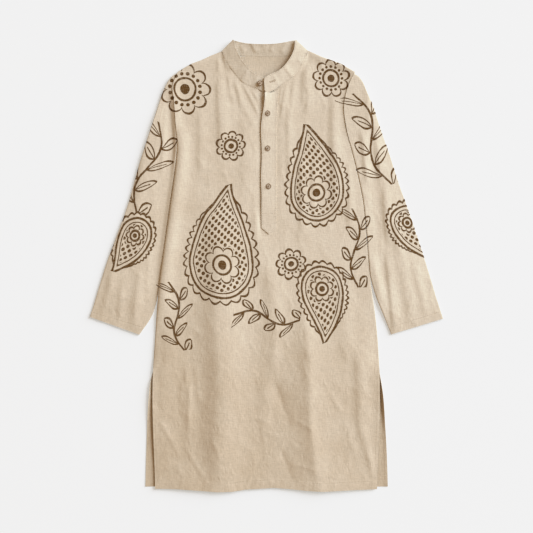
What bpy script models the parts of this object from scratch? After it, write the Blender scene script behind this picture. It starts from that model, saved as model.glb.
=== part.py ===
"""Kurta tunic laid flat with its front up: a collared, long-sleeved linen shirt with side slits.

The frame is in metres with +Z up. The origin is the bottom centre of the laid garment, +Y runs to the
collar and the wearer's left arm is at +X. All sizes below are in millimetres, and MM turns them into
metres. Every panel is its outer surface, given a wall by Solidify on the side away from view.
"""
import bmesh
import bpy
import numpy as np
from mathutils import Matrix, Vector

MM = 0.001

# Cloth and its layers
WALL = 1.3                  # linen with its turned edges and seam allowances
COLLAR_WALL = 1.6           # two layers of linen and an interlining
LAYER_GAP = 0.3             # air between two pieces that touch
MAX_LIFT = 3.6              # highest fold of the front above its lowest level
ARMHOLE_LIFT = 2.4          # level of the front and of the sleeve beside it along the armhole
FRONT_LOW = 2 * WALL + LAYER_GAP    # outer face of a front that lies right on the back

# Rolled edges: a panel turns through a quarter circle to the seam halfway up the fold
ROLL_RADIUS = 2.3
ROLL_LIP = 0.5              # short straight stretch at the seam
ROLL_ANGLES = (0.0, 30.0, 60.0, 90.0)
ROLL_REACH = ROLL_RADIUS + ROLL_LIP
ROLL_RUN = 130.0            # length over which an edge goes from flat to rolled
ROLLED_LIFT = 2 * ROLL_REACH + LAYER_GAP + 0.25 - FRONT_LOW     # lift of the front where it is rolled

# Levels along the body
HEM = -535.0
BACK_HEM = -529.0
SLIT_TOP = -252.0
ARMPIT = {"right": 278.0, "left": 298.0}
SHOULDER_TIP = 466.0
TIP_X = 212.0

# Rows of points across the front and the back, close together beside the armholes
YOKE = 240.0
LOW_ROWS = 16
YOKE_ROWS = 12
PANEL_ROWS = LOW_ROWS + YOKE_ROWS + len(ROLL_ANGLES) + 1

# Placket and buttons
SLOT = {"x": (-5.0, 19.0), "y": 126.0}
PLACKET = {"x": (-12.0, 23.0), "top_flare": 5.0, "corner_y": 92.0, "tip": (6.0, 76.0)}
BUTTON = {"diameter": 13.0, "height": 2.8, "rim": 1.3, "recess": 0.7, "hole": 1.6, "hole_circle": 3.2}
BUTTON_SPOTS = {"button_1": (3.0, 366.0), "button_2": (3.0, 282.0), "button_3": (5.0, 191.0)}
COLLAR_BUTTON = (-15.5, 438.0)

# Sides of the front, from the hem over the slit and the side seam to the shoulder's tip
SIDE_RIGHT = (              # y, x
    (-535.0, -267.0), (-252.0, -272.0), (-170.0, -267.0), (-106.0, -263.0), (-34.0, -256.0),
    (55.0, -244.0), (161.0, -229.0), (233.0, -219.0), (278.0, -215.0), (336.0, -217.5),
    (398.0, -222.0), (432.0, -225.0), (466.0, -212.0))
SIDE_LEFT = (               # y, x
    (-535.0, 265.0), (-254.0, 271.0), (-175.0, 267.0), (-115.0, 261.0), (-53.0, 252.0),
    (46.0, 242.0), (160.0, 231.0), (226.0, 217.0), (298.0, 199.0), (338.0, 190.0),
    (389.0, 186.0), (437.0, 198.0), (466.0, 212.0))

# The back runs past the front below the slits' tops
BACK_SLIT_RIGHT = (         # y, x
    (-529.0, -289.0), (-422.0, -287.0), (-314.0, -282.0), (-272.0, -277.0), (-250.0, -272.0))
BACK_SLIT_LEFT = (          # y, x
    (-529.0, 291.0), (-458.0, 289.0), (-386.0, 285.0), (-305.0, 279.0), (-254.0, 271.0))

# Upper edges, from the right shoulder's tip over the neck to the left shoulder's tip
SHOULDER_RIGHT = ((-212.0, 466.0), (-180.0, 485.0), (-155.0, 494.0), (-136.0, 503.0))   # x, y
SHOULDER_LEFT = ((128.0, 504.0), (160.0, 492.0), (181.0, 484.0), (212.0, 466.0))        # x, y
FRONT_NECK = (              # x, y
    (-108.0, 514.0), (-103.0, 503.0), (-99.0, 493.0), (-90.0, 479.0), (-80.0, 466.0), (-69.0, 452.0),
    (-57.0, 440.0), (-40.0, 431.0), (-22.0, 425.0), (-8.0, 419.0), (4.0, 416.0), (17.0, 421.0),
    (30.0, 431.0), (48.0, 443.0), (66.0, 456.0), (76.0, 468.0), (85.0, 482.0), (93.0, 498.0),
    (100.0, 516.0))
BACK_NECK = (               # x, y
    (-108.0, 514.0), (-92.0, 508.0), (-68.0, 503.0), (-40.0, 503.0), (-10.0, 503.0), (18.0, 503.0),
    (47.0, 503.0), (76.0, 509.0), (100.0, 516.0))

# Front hem, waved where the folds run out
FRONT_HEM = (               # x, y
    (-272.0, -534.0), (-224.0, -535.0), (-164.0, -539.0), (-125.0, -542.0), (-89.0, -541.0),
    (-57.0, -536.0), (15.0, -532.0), (55.0, -535.0), (94.0, -539.0), (134.0, -541.0),
    (174.0, -539.0), (214.0, -537.0), (272.0, -535.0))

# Largest folds of the front: a line from its upper to its lower end, ridges up and troughs down
FOLDS = (                   # x0, y0, x1, y1, half_width, height
    (-114.0, 10.0, -114.0, -560.0, 30.0, 2.0),
    (-182.0, 20.0, -174.0, -560.0, 24.0, -1.1),
    (-232.0, -60.0, -243.0, -560.0, 18.0, 0.8),
    (-18.0, 60.0, -20.0, -360.0, 28.0, -1.1),
    (26.0, 20.0, 30.0, -220.0, 16.0, 0.9),
    (64.0, -20.0, 62.0, -330.0, 16.0, -1.1),
    (100.0, -90.0, 120.0, -560.0, 22.0, 2.0),
    (172.0, -180.0, 192.0, -560.0, 22.0, -1.0),
    (206.0, -240.0, 247.0, -480.0, 14.0, 1.3),
    (40.0, -350.0, 112.0, -385.0, 9.0, 0.9),
    (42.0, -450.0, 112.0, -490.0, 9.0, 0.9),
    (-108.0, 450.0, -112.0, 250.0, 15.0, 0.9),
    (-150.0, 420.0, -160.0, 190.0, 18.0, -0.8),
    (98.0, 480.0, 92.0, 90.0, 15.0, 1.1),
    (54.0, 410.0, 58.0, 100.0, 14.0, -0.8),
    (170.0, 420.0, 168.0, 90.0, 18.0, 1.2),
    (136.0, 430.0, 130.0, 120.0, 13.0, -0.8),
    (-88.0, 480.0, -24.0, 350.0, 9.0, 1.1),
    (-58.0, 425.0, -30.0, 300.0, 9.0, 0.8))

# Sleeves: the fold at the outer side and the one at the body; no inner x where it follows the body
SLEEVE_RIGHT = (            # outer_x, outer_y, inner_x, inner_y
    (-212.0, 466.0, None, 278.0), (-231.0, 450.0, None, 268.0), (-247.0, 421.0, None, 257.0),
    (-263.0, 374.0, None, 243.0), (-281.0, 320.0, None, 226.0), (-305.0, 245.0, None, 190.0),
    (-331.0, 151.0, None, 116.0), (-360.0, 70.0, None, 31.0), (-381.0, 14.0, None, -34.0),
    (-402.0, -52.0, -264.5, -88.0), (-414.0, -92.0, -277.0, -124.0), (-424.0, -122.0, -305.0, -165.0))
SLEEVE_LEFT = (             # outer_x, outer_y, inner_x, inner_y
    (212.0, 466.0, None, 298.0), (229.0, 446.0, None, 288.0), (243.0, 415.0, None, 276.0),
    (257.0, 381.0, None, 262.0), (271.0, 338.0, None, 242.0), (294.0, 272.0, None, 208.0),
    (313.0, 213.0, None, 166.0), (337.0, 144.0, None, 114.0), (366.0, 59.0, None, 20.0),
    (379.0, 19.0, None, -22.0), (392.0, -22.0, 260.0, -66.0), (410.0, -82.0, 283.0, -124.0),
    (424.0, -126.0, 299.0, -164.0))
SLEEVE_RINGS = 20
SLEEVE_OUTER_FOLD = 5.6     # height of the flattened tube at its outer fold
SLEEVE_INNER_FOLD = 3.4     # and at the fold beside the body
SLEEVE_CUFF = 3.3           # and at the cuff
SLEEVE_BOW = 30.0           # sections near the armpit bow this far away from the body
SLEEVE_FOLDS = (            # across, half_width, start, end, height
    (0.30, 0.12, 0.05, 0.95, 1.0),
    (0.52, 0.07, 0.20, 0.90, -0.9),
    (0.66, 0.07, 0.30, 1.00, 0.7))

# Collar band from its under end (wearer's right) round the neck to its over end.
# Its seam edge follows the neck edges above, its free edge stands clear of the panels.
COLLAR_RIGHT = (            # seam_x, seam_y, edge_x, edge_y, seam_z, edge_z
    (-1.0, 418.0, 0.0, 449.5, 4.6, 8.4), (-8.0, 419.0, -4.0, 452.0, 4.6, 8.8),
    (-22.0, 425.0, -13.0, 454.5, 4.8, 9.8), (-40.0, 431.0, -22.0, 458.0, 5.0, 11.5),
    (-57.0, 440.0, -33.0, 464.0, 5.2, 13.2), (-69.0, 452.0, -41.0, 472.0, 5.3, 14.2),
    (-80.0, 466.0, -48.0, 480.0, 5.4, 14.8), (-90.0, 479.0, -58.0, 492.0, 5.6, 15.0),
    (-99.0, 493.0, -66.0, 506.0, 5.8, 14.8), (-103.0, 503.0, -74.0, 523.0, 6.4, 14.6))
COLLAR_LEFT = (             # seam_x, seam_y, edge_x, edge_y, seam_z, edge_z
    (-4.0, 419.5, -6.0, 445.0, 7.4, 11.2), (-1.0, 417.5, -4.0, 450.0, 7.2, 11.8),
    (4.0, 416.0, 0.0, 453.5, 7.0, 12.6), (17.0, 421.0, 7.0, 458.0, 6.6, 13.6),
    (30.0, 431.0, 14.0, 461.5, 6.2, 14.6), (48.0, 443.0, 27.0, 467.0, 6.0, 15.6),
    (66.0, 456.0, 41.0, 478.0, 6.0, 16.4), (76.0, 468.0, 50.0, 489.0, 6.0, 16.6),
    (85.0, 482.0, 58.0, 501.0, 6.1, 16.4), (93.0, 498.0, 66.0, 519.0, 6.6, 15.6))
COLLAR_BACK = (             # seam_x, seam_y, edge_x, edge_y, seam_z, edge_z
    (-92.0, 508.0, -66.0, 538.0, 1.7, 5.2), (-68.0, 503.0, -50.0, 535.5, 1.7, 6.4),
    (-40.0, 503.0, -32.0, 533.5, 1.7, 7.6), (-10.0, 503.0, -7.0, 533.0, 1.7, 8.2),
    (18.0, 503.0, 18.0, 533.0, 1.7, 8.0), (47.0, 503.0, 42.0, 535.5, 1.7, 7.0),
    (76.0, 509.0, 58.0, 538.5, 1.7, 5.8))
COLLAR_CREASE = {           # fold at the neck points: seam and free edge, their radii and axis heights
    "right": ((-108.0, 514.0), (-80.0, 542.0)), "left": ((100.0, 516.0), (72.0, 542.0)),
    "radius": (2.9, 4.6), "axis_z": (4.6, 9.8)}
COLLAR_ROWS = 4
NECK_GAP = 0.8              # room between the collar's seam edge and the panels' edges, in plan
BODY_SLEEVE_GAP = 1.0       # a sleeve lies this far beside the body's fold
ARMHOLE_GAP = 0.5

LINEN = (0.650, 0.545, 0.420)
LINEN_INSIDE = (0.610, 0.500, 0.375)
HORN = (0.360, 0.235, 0.135)


def smooth_curve(table, at):
    """Value of a smooth curve through (key, value) rows, with slopes taken from the neighbours."""
    keys, values = np.array(table).T
    slopes = np.gradient(values, keys)
    at = min(max(at, keys[0]), keys[-1])
    i = min(int(np.searchsorted(keys, at, side="right")) - 1, len(keys) - 2)
    step = keys[i + 1] - keys[i]
    t = (at - keys[i]) / step
    start = (1 + 2 * t) * (1 - t) ** 2 * values[i] + t * (1 - t) ** 2 * step * slopes[i]
    end = t * t * (3 - 2 * t) * values[i + 1] + t * t * (t - 1) * step * slopes[i + 1]
    return start + end


def polyline(table, at):
    keys, values = np.array(table).T
    return float(np.interp(at, keys, values))


def ramp(value, low, high):
    """Smooth step from 0 at low to 1 at high; low may be the larger."""
    t = min(max((value - low) / (high - low), 0.0), 1.0)
    return t * t * (3 - 2 * t)


def bell(distance, half_width):
    return float(np.exp(-(distance / half_width) ** 2))


def mix(a, b, weight):
    return a + (b - a) * weight


def side_x(side, y):
    table = SIDE_RIGHT if side == "right" else SIDE_LEFT
    return smooth_curve(table, y)


def back_side_x(side, y):
    if y >= SLIT_TOP:
        return side_x(side, y)
    return smooth_curve(BACK_SLIT_RIGHT if side == "right" else BACK_SLIT_LEFT, y)


def side_roll(side, y):
    """How far a side edge is rolled: all the way along the side seam, not at all at slit or armhole."""
    return ramp(y, SLIT_TOP, SLIT_TOP + ROLL_RUN) * ramp(y, ARMPIT[side] + ROLL_RUN / 2, ARMPIT[side])


def shoulder_roll(x):
    """Rolled along the shoulders and flat along the neck edge."""
    neck_right, neck_left = FRONT_NECK[0][0], FRONT_NECK[-1][0]
    return ramp(x, neck_right, neck_right - ROLL_RUN / 2) + ramp(x, neck_left, neck_left + ROLL_RUN / 2)


def front_top_y(x):
    return polyline(SHOULDER_RIGHT + FRONT_NECK + SHOULDER_LEFT, x)


def back_top_y(x):
    return polyline(SHOULDER_RIGHT + BACK_NECK + SHOULDER_LEFT, x)


def fold_lift(x, y):
    total = 0.0
    for x0, y0, x1, y1, half_width, height in FOLDS:
        line = Vector((x1 - x0, y1 - y0))
        length = line.length
        along = (Vector((x - x0, y - y0)).dot(line)) / length
        across = abs((x - x0) * line.y - (y - y0) * line.x) / length
        ends = ramp(along, -0.12 * length, 0.2 * length) * ramp(along, 1.12 * length, 0.8 * length)
        total += height * bell(across, half_width) * ends
    return total


def front_z(x, y):
    """Height of the front's outer face away from its rolled edges, also over the placket's slot."""
    lift = 1.5 + fold_lift(x, y)
    for side in ("right", "left"):
        distance = abs(x - side_x(side, y))
        lift = mix(lift, 0.1, bell(distance, 12) * ramp(y, SLIT_TOP + 30, SLIT_TOP - 10))
        lift = mix(lift, ROLLED_LIFT, bell(distance, 13) * side_roll(side, y) ** 0.5)
        lift = mix(lift, ARMHOLE_LIFT, bell(distance, 12) * ramp(y, ARMPIT[side], ARMPIT[side] + ROLL_RUN / 2))
    below_top = front_top_y(x) - y
    roll = shoulder_roll(x)
    lift = mix(lift, ROLLED_LIFT, bell(below_top, 13) * roll ** 0.5)
    lift = mix(lift, mix(1.7, 2.5, ramp(x, -30, 40)), bell(below_top, 14) * (1 - roll))
    placket = bell(max(PLACKET["x"][0] - x, x - PLACKET["x"][1], 0.0), 10) * ramp(y, 50, 110)
    lift = mix(lift, mix(1.5, 2.2, ramp(x, *PLACKET["x"])), placket)
    lift = mix(lift, 0.55 * lift, bell(y - HEM, 18))
    return FRONT_LOW + MAX_LIFT * (0.5 + 0.5 * float(np.tanh(2.2 * lift / MAX_LIFT - 1.1)) / 0.95)


def roll_steps(roll):
    """(distance from the edge, drop below the level face) for the rows of points in a rolled edge."""
    flat = ROLL_LIP * (1 - roll)
    steps = [(0.0, roll * ROLL_REACH)]
    for angle in np.radians(ROLL_ANGLES):
        steps.append((flat + ROLL_RADIUS * (1 - np.cos(angle)), roll * ROLL_RADIUS * (1 - np.sin(angle))))
    return steps


def panel_point(column, row, columns, side_of, top_of, hem_of):
    """Plan position of a panel's point, and how far it drops because of its rolled edges.

    Below the yoke level a row runs at a share of the height from the hem, above it at a share of the
    height to the upper edge, so that the front, the back and the sleeves meet row by row.
    """
    top_x, hem_share, edge, index = columns[column]
    top_y = top_of(top_x)
    top_steps = roll_steps(shoulder_roll(top_x))
    hem_y = hem_of(mix(side_of("right", HEM), side_of("left", HEM), hem_share))
    drop = 0.0
    if row < LOW_ROWS:
        y = mix(hem_y, YOKE, row / LOW_ROWS)
    elif row < LOW_ROWS + YOKE_ROWS:
        y = mix(YOKE, top_y - top_steps[-1][0], (row - LOW_ROWS) / YOKE_ROWS)
    else:
        down, drop = top_steps[PANEL_ROWS - 1 - row]
        y = top_y - down
    share = min(row / (LOW_ROWS + YOKE_ROWS), 1.0)
    at_y = min(y, SHOULDER_TIP)
    low, high = side_of("right", at_y), side_of("left", at_y)
    if edge:
        steps = roll_steps(side_roll(edge, y))
        inward, side_drop = steps[index]
        x = low + inward if edge == "right" else high - inward
        return x, y, drop + side_drop
    reach = ROLL_REACH
    top_at = min(top_y, SHOULDER_TIP)
    top_low, top_high = side_of("right", top_at) + reach, side_of("left", top_at) - reach
    top_share = (top_x - top_low) / (top_high - top_low)
    part = mix(hem_share, top_share, share)
    return mix(low + reach, high - reach, part), y, drop


def panel_columns(neck, shoulder_steps):
    """Columns of a panel: rolled side edges, evenly spaced shoulders and one for each neck point."""
    columns = []
    edge_count = len(ROLL_ANGLES) + 1
    for index in range(edge_count):
        columns.append((-TIP_X + roll_steps(0.0)[index][0], 0.0, "right", index))
    inner = TIP_X - ROLL_REACH
    tops = list(np.linspace(-inner, neck[0][0], shoulder_steps + 1)[1:-1])
    tops += [x for x, _ in neck]
    tops += list(np.linspace(neck[-1][0], inner, shoulder_steps + 1)[1:-1])
    for top_x in tops:
        columns.append((top_x, (top_x + inner) / (2 * inner), None, 0))
    for index in reversed(range(edge_count)):
        columns.append((TIP_X - roll_steps(0.0)[index][0], 1.0, "left", index))
    return columns


def new_object(name, mesh, colour, roughness=0.9):
    material = bpy.data.materials.new(name)
    material.use_nodes = True
    shader = material.node_tree.nodes["Principled BSDF"]
    shader.inputs["Base Color"].default_value = (*colour, 1.0)
    shader.inputs["Roughness"].default_value = roughness
    mesh.materials.append(material)
    piece = bpy.data.objects.new(name, mesh)
    garment.objects.link(piece)
    return piece


def add_wall(piece, thickness):
    wall = piece.modifiers.new("wall", "SOLIDIFY")
    wall.thickness = thickness * MM
    wall.offset = -1.0
    wall.use_quality_normals = True
    return wall


def grid_sheet(name, columns, rows, place, colour, thickness=WALL, face_down=False):
    """A grid whose point in column i and row j is put at place(i, j), then given its wall."""
    bm = bmesh.new()
    bmesh.ops.create_grid(bm, x_segments=columns - 1, y_segments=rows - 1, size=0.5)
    for vertex in bm.verts:
        i = round((vertex.co.x + 0.5) * (columns - 1))
        j = round((vertex.co.y + 0.5) * (rows - 1))
        vertex.co = Vector(place(i, j)) * MM
    if face_down:
        bmesh.ops.reverse_faces(bm, faces=bm.faces)
    return finish_sheet(name, bm, colour, thickness)


def loft_sheet(name, sections, closed, colour, thickness=WALL):
    """A sheet through sections with equal numbers of points; closed sections make a tube."""
    bm = bmesh.new()
    rings = [[bm.verts.new(Vector(point) * MM) for point in section] for section in sections]
    count = len(sections[0])
    for ring, following in zip(rings, rings[1:]):
        for k in range(count if closed else count - 1):
            n = (k + 1) % count
            bm.faces.new((ring[k], ring[n], following[n], following[k]))
    return finish_sheet(name, bm, colour, thickness)


def finish_sheet(name, bm, colour, thickness):
    mesh = bpy.data.meshes.new(name)
    bm.to_mesh(mesh)
    bm.free()
    mesh.shade_smooth()
    mesh.set_sharp_from_angle(angle=np.radians(50))
    piece = new_object(name, mesh, colour)
    add_wall(piece, thickness)
    return piece


def cut(piece, cutter):
    for collection in cutter.users_collection:
        collection.objects.unlink(cutter)
    cutters.objects.link(cutter)
    cutter.hide_render = True
    cutter.display_type = "WIRE"
    boolean = piece.modifiers.new("cut", "BOOLEAN")
    boolean.object = cutter
    boolean.solver = "EXACT"


def box_cutter(name, low, high):
    bpy.ops.mesh.primitive_cube_add(size=1.0)
    cutter = bpy.context.object
    cutter.name = name
    cutter.data.transform(Matrix.Diagonal((*((Vector(high) - Vector(low)) * MM), 1.0)))
    cutter.data.transform(Matrix.Translation((Vector(low) + Vector(high)) * MM / 2))
    return cutter


def build_front():
    columns = panel_columns(FRONT_NECK, 6)

    def place(i, j):
        x, y, drop = panel_point(i, j, columns, side_x, front_top_y, lambda at: polyline(FRONT_HEM, at))
        return x, y, front_z(x, y) - drop

    front = grid_sheet("front", len(columns), PANEL_ROWS, place, LINEN)
    slot = box_cutter("placket_slot", (SLOT["x"][0], SLOT["y"], -5.0), (SLOT["x"][1], 480.0, 40.0))
    cut(front, slot)


def build_back():
    columns = panel_columns(BACK_NECK, 4)

    def place(i, j):
        return panel_point(i, j, columns, back_side_x, back_top_y, lambda at: BACK_HEM)

    grid_sheet("back", len(columns), PANEL_ROWS, place, LINEN_INSIDE, face_down=True)


def sleeve_stations(side):
    """Outer and inner fold of a sleeve as smooth curves over the share of its length."""
    table = SLEEVE_RIGHT if side == "right" else SLEEVE_LEFT
    outward = -1 if side == "right" else 1
    outer, inner, share = [], [], [0.0]
    for outer_x, outer_y, inner_x, inner_y in table:
        if inner_x is None:
            inner_x = side_x(side, inner_y) + outward * BODY_SLEEVE_GAP
        outer.append(Vector((outer_x, outer_y)))
        inner.append(Vector((inner_x, inner_y)))
    outer[0].x = side_x(side, outer[0].y) + outward * ARMHOLE_GAP
    for k in range(1, len(outer)):
        step = (outer[k] - outer[k - 1]).length + (inner[k] - inner[k - 1]).length
        share.append(share[-1] + step / 2)
    share = [value / share[-1] for value in share]
    curves = []
    for rail in (outer, inner):
        curves.append([tuple((s, point[axis]) for s, point in zip(share, rail)) for axis in (0, 1)])
    return curves


def sleeve_top_z(across, share):
    """Height of a sleeve's upper face: rounded over the arm, low beside the body, flat at the cuff."""
    start = mix(FRONT_LOW + ARMHOLE_LIFT, SLEEVE_OUTER_FOLD, ramp(share, 0.0, 0.15))
    outer = mix(start, SLEEVE_CUFF, ramp(share, 0.8, 1.0))
    inner = mix(SLEEVE_INNER_FOLD, SLEEVE_CUFF, ramp(share, 0.8, 1.0))
    height = mix(outer, inner, ramp(across, 0.78, 1.0))
    for middle, half_width, first, last, fold in SLEEVE_FOLDS:
        ends = ramp(share, first, first + 0.12) * ramp(share, last, last - 0.12)
        height += fold * bell(across - middle, half_width) * ends
    return min(max(height, FRONT_LOW + 0.05), FRONT_LOW + MAX_LIFT)


def armhole_shares(side):
    """Shares of the armhole at which the panels' rows end, between the sleeve's two folds."""
    top_row = SHOULDER_TIP - ROLL_REACH
    step = (top_row - YOKE) / YOKE_ROWS
    length = SHOULDER_TIP - ARMPIT[side]
    shares = [(SHOULDER_TIP - top_row + step * k) / length for k in range(1, YOKE_ROWS)]
    return [share for share in shares if share < 0.96]


def sleeve_section(side, share, outer, inner, outer_way, inner_way):
    """Closed section of a flattened sleeve: a fold at each side, an upper and a flat lower face."""
    outward = -1 if side == "right" else 1
    width = (inner - outer).length
    outer_radius = sleeve_top_z(0.0, share) / 2
    inner_radius = sleeve_top_z(1.0, share) / 2
    ring = []
    for angle in np.radians(np.linspace(-90, 90, 5)):
        at = outer + outer_way * outer_radius * (1 - np.cos(angle))
        ring.append((at, outer_radius * (1 + np.sin(angle))))
    for part in armhole_shares(side):
        ring.append((mix(outer, inner, part), sleeve_top_z(part, share)))
    for angle in np.radians(np.linspace(90, -90, 5)):
        at = inner + inner_way * inner_radius * (1 - np.cos(angle))
        ring.append((at, inner_radius * (1 + np.sin(angle))))
    for part in reversed(armhole_shares(side)):
        ring.append((mix(outer, inner, part), 0.0))
    bulge_left = 1 - ramp(share, 0.0, 0.12)
    bow = SLEEVE_BOW * ramp(share, 0.0, 0.1) * (1 - ramp(share, 0.15, 0.5))
    section = []
    for at, z in ring:
        along = min(max((at - outer).dot(inner - outer) / width ** 2, 0.0), 1.0)
        level = mix(SHOULDER_TIP, ARMPIT[side], along)
        chord_x = mix(side_x(side, SHOULDER_TIP), side_x(side, ARMPIT[side]), along)
        gap = ARMHOLE_GAP + 1.0 * bell(along, 0.04)
        x = at.x + (side_x(side, level) - chord_x) * bulge_left
        x += outward * bow * along * np.sin(np.pi * along)
        limit = side_x(side, at.y) + outward * gap
        x = min(x, limit) if side == "right" else max(x, limit)
        section.append((x, at.y, z))
    return section if side == "left" else section[::-1]


def build_sleeve(side):
    outer_rail, inner_rail = sleeve_stations(side)
    sections = []

    def rail_point(rail, share):
        return Vector([smooth_curve(curve, share) for curve in rail])

    for share in np.linspace(0.0, 1.0, SLEEVE_RINGS) ** 1.15:
        outer, inner = rail_point(outer_rail, share), rail_point(inner_rail, share)
        ways = []
        for rail, other in ((outer_rail, inner - outer), (inner_rail, outer - inner)):
            run = rail_point(rail, min(share + 0.01, 1.0)) - rail_point(rail, max(share - 0.01, 0.0))
            way = Vector((run.y, -run.x)).normalized()
            ways.append(way if way.dot(other) > 0 else -way)
        start_way = (inner - outer).normalized()
        ways[0] = mix(start_way, ways[0], ramp(share, 0.0, 0.08)).normalized()
        sections.append(sleeve_section(side, share, outer, inner, *ways))
    loft_sheet("sleeve_" + side, sections, True, LINEN)


def crease_section(side, angle):
    """Section of the collar at its fold: seam and free edge turned about the crease by an angle."""
    seam, edge = (Vector(point) for point in COLLAR_CREASE[side])
    across = (edge - seam).normalized()
    outward = Vector((-across.y, across.x)) if side == "right" else Vector((across.y, -across.x))
    turned = []
    for point, radius, axis_z in zip((seam, edge), COLLAR_CREASE["radius"], COLLAR_CREASE["axis_z"]):
        at = point - outward * radius * (1 - np.cos(angle))
        turned.append(Vector((at.x, at.y, axis_z + radius * np.sin(angle))))
    return turned


def inset_from_neck(seam, edge):
    """Move a seam point towards the free edge, so that it clears the panel it is sewn to."""
    direction = Vector((edge.x - seam.x, edge.y - seam.y, 0.0)).normalized()
    return seam + direction * NECK_GAP


def build_collar():
    pairs = []
    for row in COLLAR_RIGHT:
        pairs.append((Vector((row[0], row[1], row[4])), Vector((row[2], row[3], row[5]))))
    for angle in np.radians(np.linspace(75, -75, 6)):
        pairs.append(tuple(crease_section("right", angle)))
    for row in COLLAR_BACK:
        pairs.append((Vector((row[0], row[1], row[4])), Vector((row[2], row[3], row[5]))))
    for angle in np.radians(np.linspace(-75, 75, 6)):
        pairs.append(tuple(crease_section("left", angle)))
    for row in reversed(COLLAR_LEFT):
        pairs.append((Vector((row[0], row[1], row[4])), Vector((row[2], row[3], row[5]))))
    sections = []
    for seam, edge in pairs:
        seam = inset_from_neck(seam, edge)
        sections.append([mix(seam, edge, share) for share in np.linspace(0, 1, COLLAR_ROWS)])
    loft_sheet("collar", sections, False, LINEN, COLLAR_WALL)


def placket_lift(x, y):
    """The top placket gapes a little above the left edge, towards the collar."""
    low, high = PLACKET["x"]
    return 1.3 * ramp(x, high, low) * ramp(y, 230.0, 340.0)


def placket_top_z(x, y):
    return front_z(x, y) + LAYER_GAP + WALL + placket_lift(x, y)


def build_plackets():
    low, high = SLOT["x"][0] + LAYER_GAP, SLOT["x"][1] - LAYER_GAP
    foot = SLOT["y"] + LAYER_GAP
    across = (low, 0.0, 4.0, 8.0, 13.0, 17.0, high)

    def place_under(i, j):
        x = across[i]
        y = mix(foot, front_top_y(x) - NECK_GAP, j / 14)
        return x, y, front_z(x, y)

    grid_sheet("placket_under", len(across), 15, place_under, LINEN)
    left, right = PLACKET["x"]
    tip_x, tip_y = PLACKET["tip"]
    wide = (0.0, 0.14, 0.30, 0.46, 0.5143, 0.68, 0.84, 1.0)

    def place_top(i, j):
        share = wide[i]
        end_y = mix(tip_y, PLACKET["corner_y"], abs(mix(left, right, share) - tip_x) / (tip_x - left))
        x = mix(left, right, share)
        y = mix(min(end_y, PLACKET["corner_y"]), front_top_y(x) - NECK_GAP, j / 20)
        x += PLACKET["top_flare"] * share * ramp(y, 330, 420)
        y = min(y, front_top_y(x) - NECK_GAP)
        return x, y, placket_top_z(x, y)

    grid_sheet("placket_top", len(wide), 21, place_top, LINEN)


def build_button(name, spot, z, tilt):
    """Round button turned from its profile, with a raised rim and four sewing holes."""
    radius, height = BUTTON["diameter"] / 2, BUTTON["height"]
    floor = height - BUTTON["recess"]
    profile = ((0.0, height - BUTTON["recess"]), (radius - BUTTON["rim"] - 0.6, floor),
               (radius - BUTTON["rim"], height), (radius - 0.5, height), (radius, height - 0.6),
               (radius, 1.0), (radius - 1.4, 0.0), (0.0, 0.0))
    bm = bmesh.new()
    points = [bm.verts.new((x * MM, 0.0, z_at * MM)) for x, z_at in profile]
    for first, second in zip(points, points[1:]):
        bm.edges.new((first, second))
    mesh = bpy.data.meshes.new(name)
    bm.to_mesh(mesh)
    bm.free()
    button = new_object(name, mesh, HORN, 0.35)
    screw = button.modifiers.new("turn", "SCREW")
    screw.steps = 20
    screw.render_steps = 20
    screw.use_merge_vertices = True
    screw.merge_threshold = 1e-5
    button.location = Vector((*spot, z)) * MM
    button.rotation_euler = tilt
    for k in range(4):
        angle = np.radians(45 + 90 * k)
        middle = BUTTON["hole_circle"] / 2 * MM
        bpy.ops.mesh.primitive_cylinder_add(vertices=8, radius=BUTTON["hole"] / 2 * MM, depth=12 * MM)
        hole = bpy.context.object
        hole.name = f"{name}_hole_{k}"
        hole.data.transform(Matrix.Translation((np.cos(angle) * middle, np.sin(angle) * middle, 0)))
        hole.location = button.location
        hole.rotation_euler = tilt
        cut(button, hole)


def build_buttons():
    reach = BUTTON["diameter"] / 2
    for name, (x, y) in BUTTON_SPOTS.items():
        around = [placket_top_z(x + dx, y + dy) for dx in (-reach, 0, reach) for dy in (-reach, 0, reach)]
        build_button(name, (x, y), max(around) + LAYER_GAP, (0.0, 0.0, 0.0))
    x, y = COLLAR_BUTTON
    first, second = COLLAR_RIGHT[1], COLLAR_RIGHT[2]
    part = (x - first[0]) / (second[0] - first[0])
    seam = Vector([mix(first[k], second[k], part) for k in (0, 1, 4)])
    edge = Vector([mix(first[k], second[k], part) for k in (2, 3, 5)])
    rise = (edge.z - seam.z) / (edge - seam).xy.length
    z = seam.z + rise * (y - seam.y) + LAYER_GAP + 0.35
    build_button("button_collar", (x, y), z, (float(np.arctan(rise)), 0.0, 0.0))


for old in list(bpy.data.objects):
    bpy.data.objects.remove(old, do_unlink=True)
garment = bpy.data.collections.new("kurta_tunic")
cutters = bpy.data.collections.new("cutters")
bpy.context.scene.collection.children.link(garment)
bpy.context.scene.collection.children.link(cutters)

build_back()
build_front()
build_sleeve("right")
build_sleeve("left")
build_collar()
build_plackets()
build_buttons()
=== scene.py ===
import functools
import math

import bpy
import numpy as np
from mathutils import Matrix, Vector, noise


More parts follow.
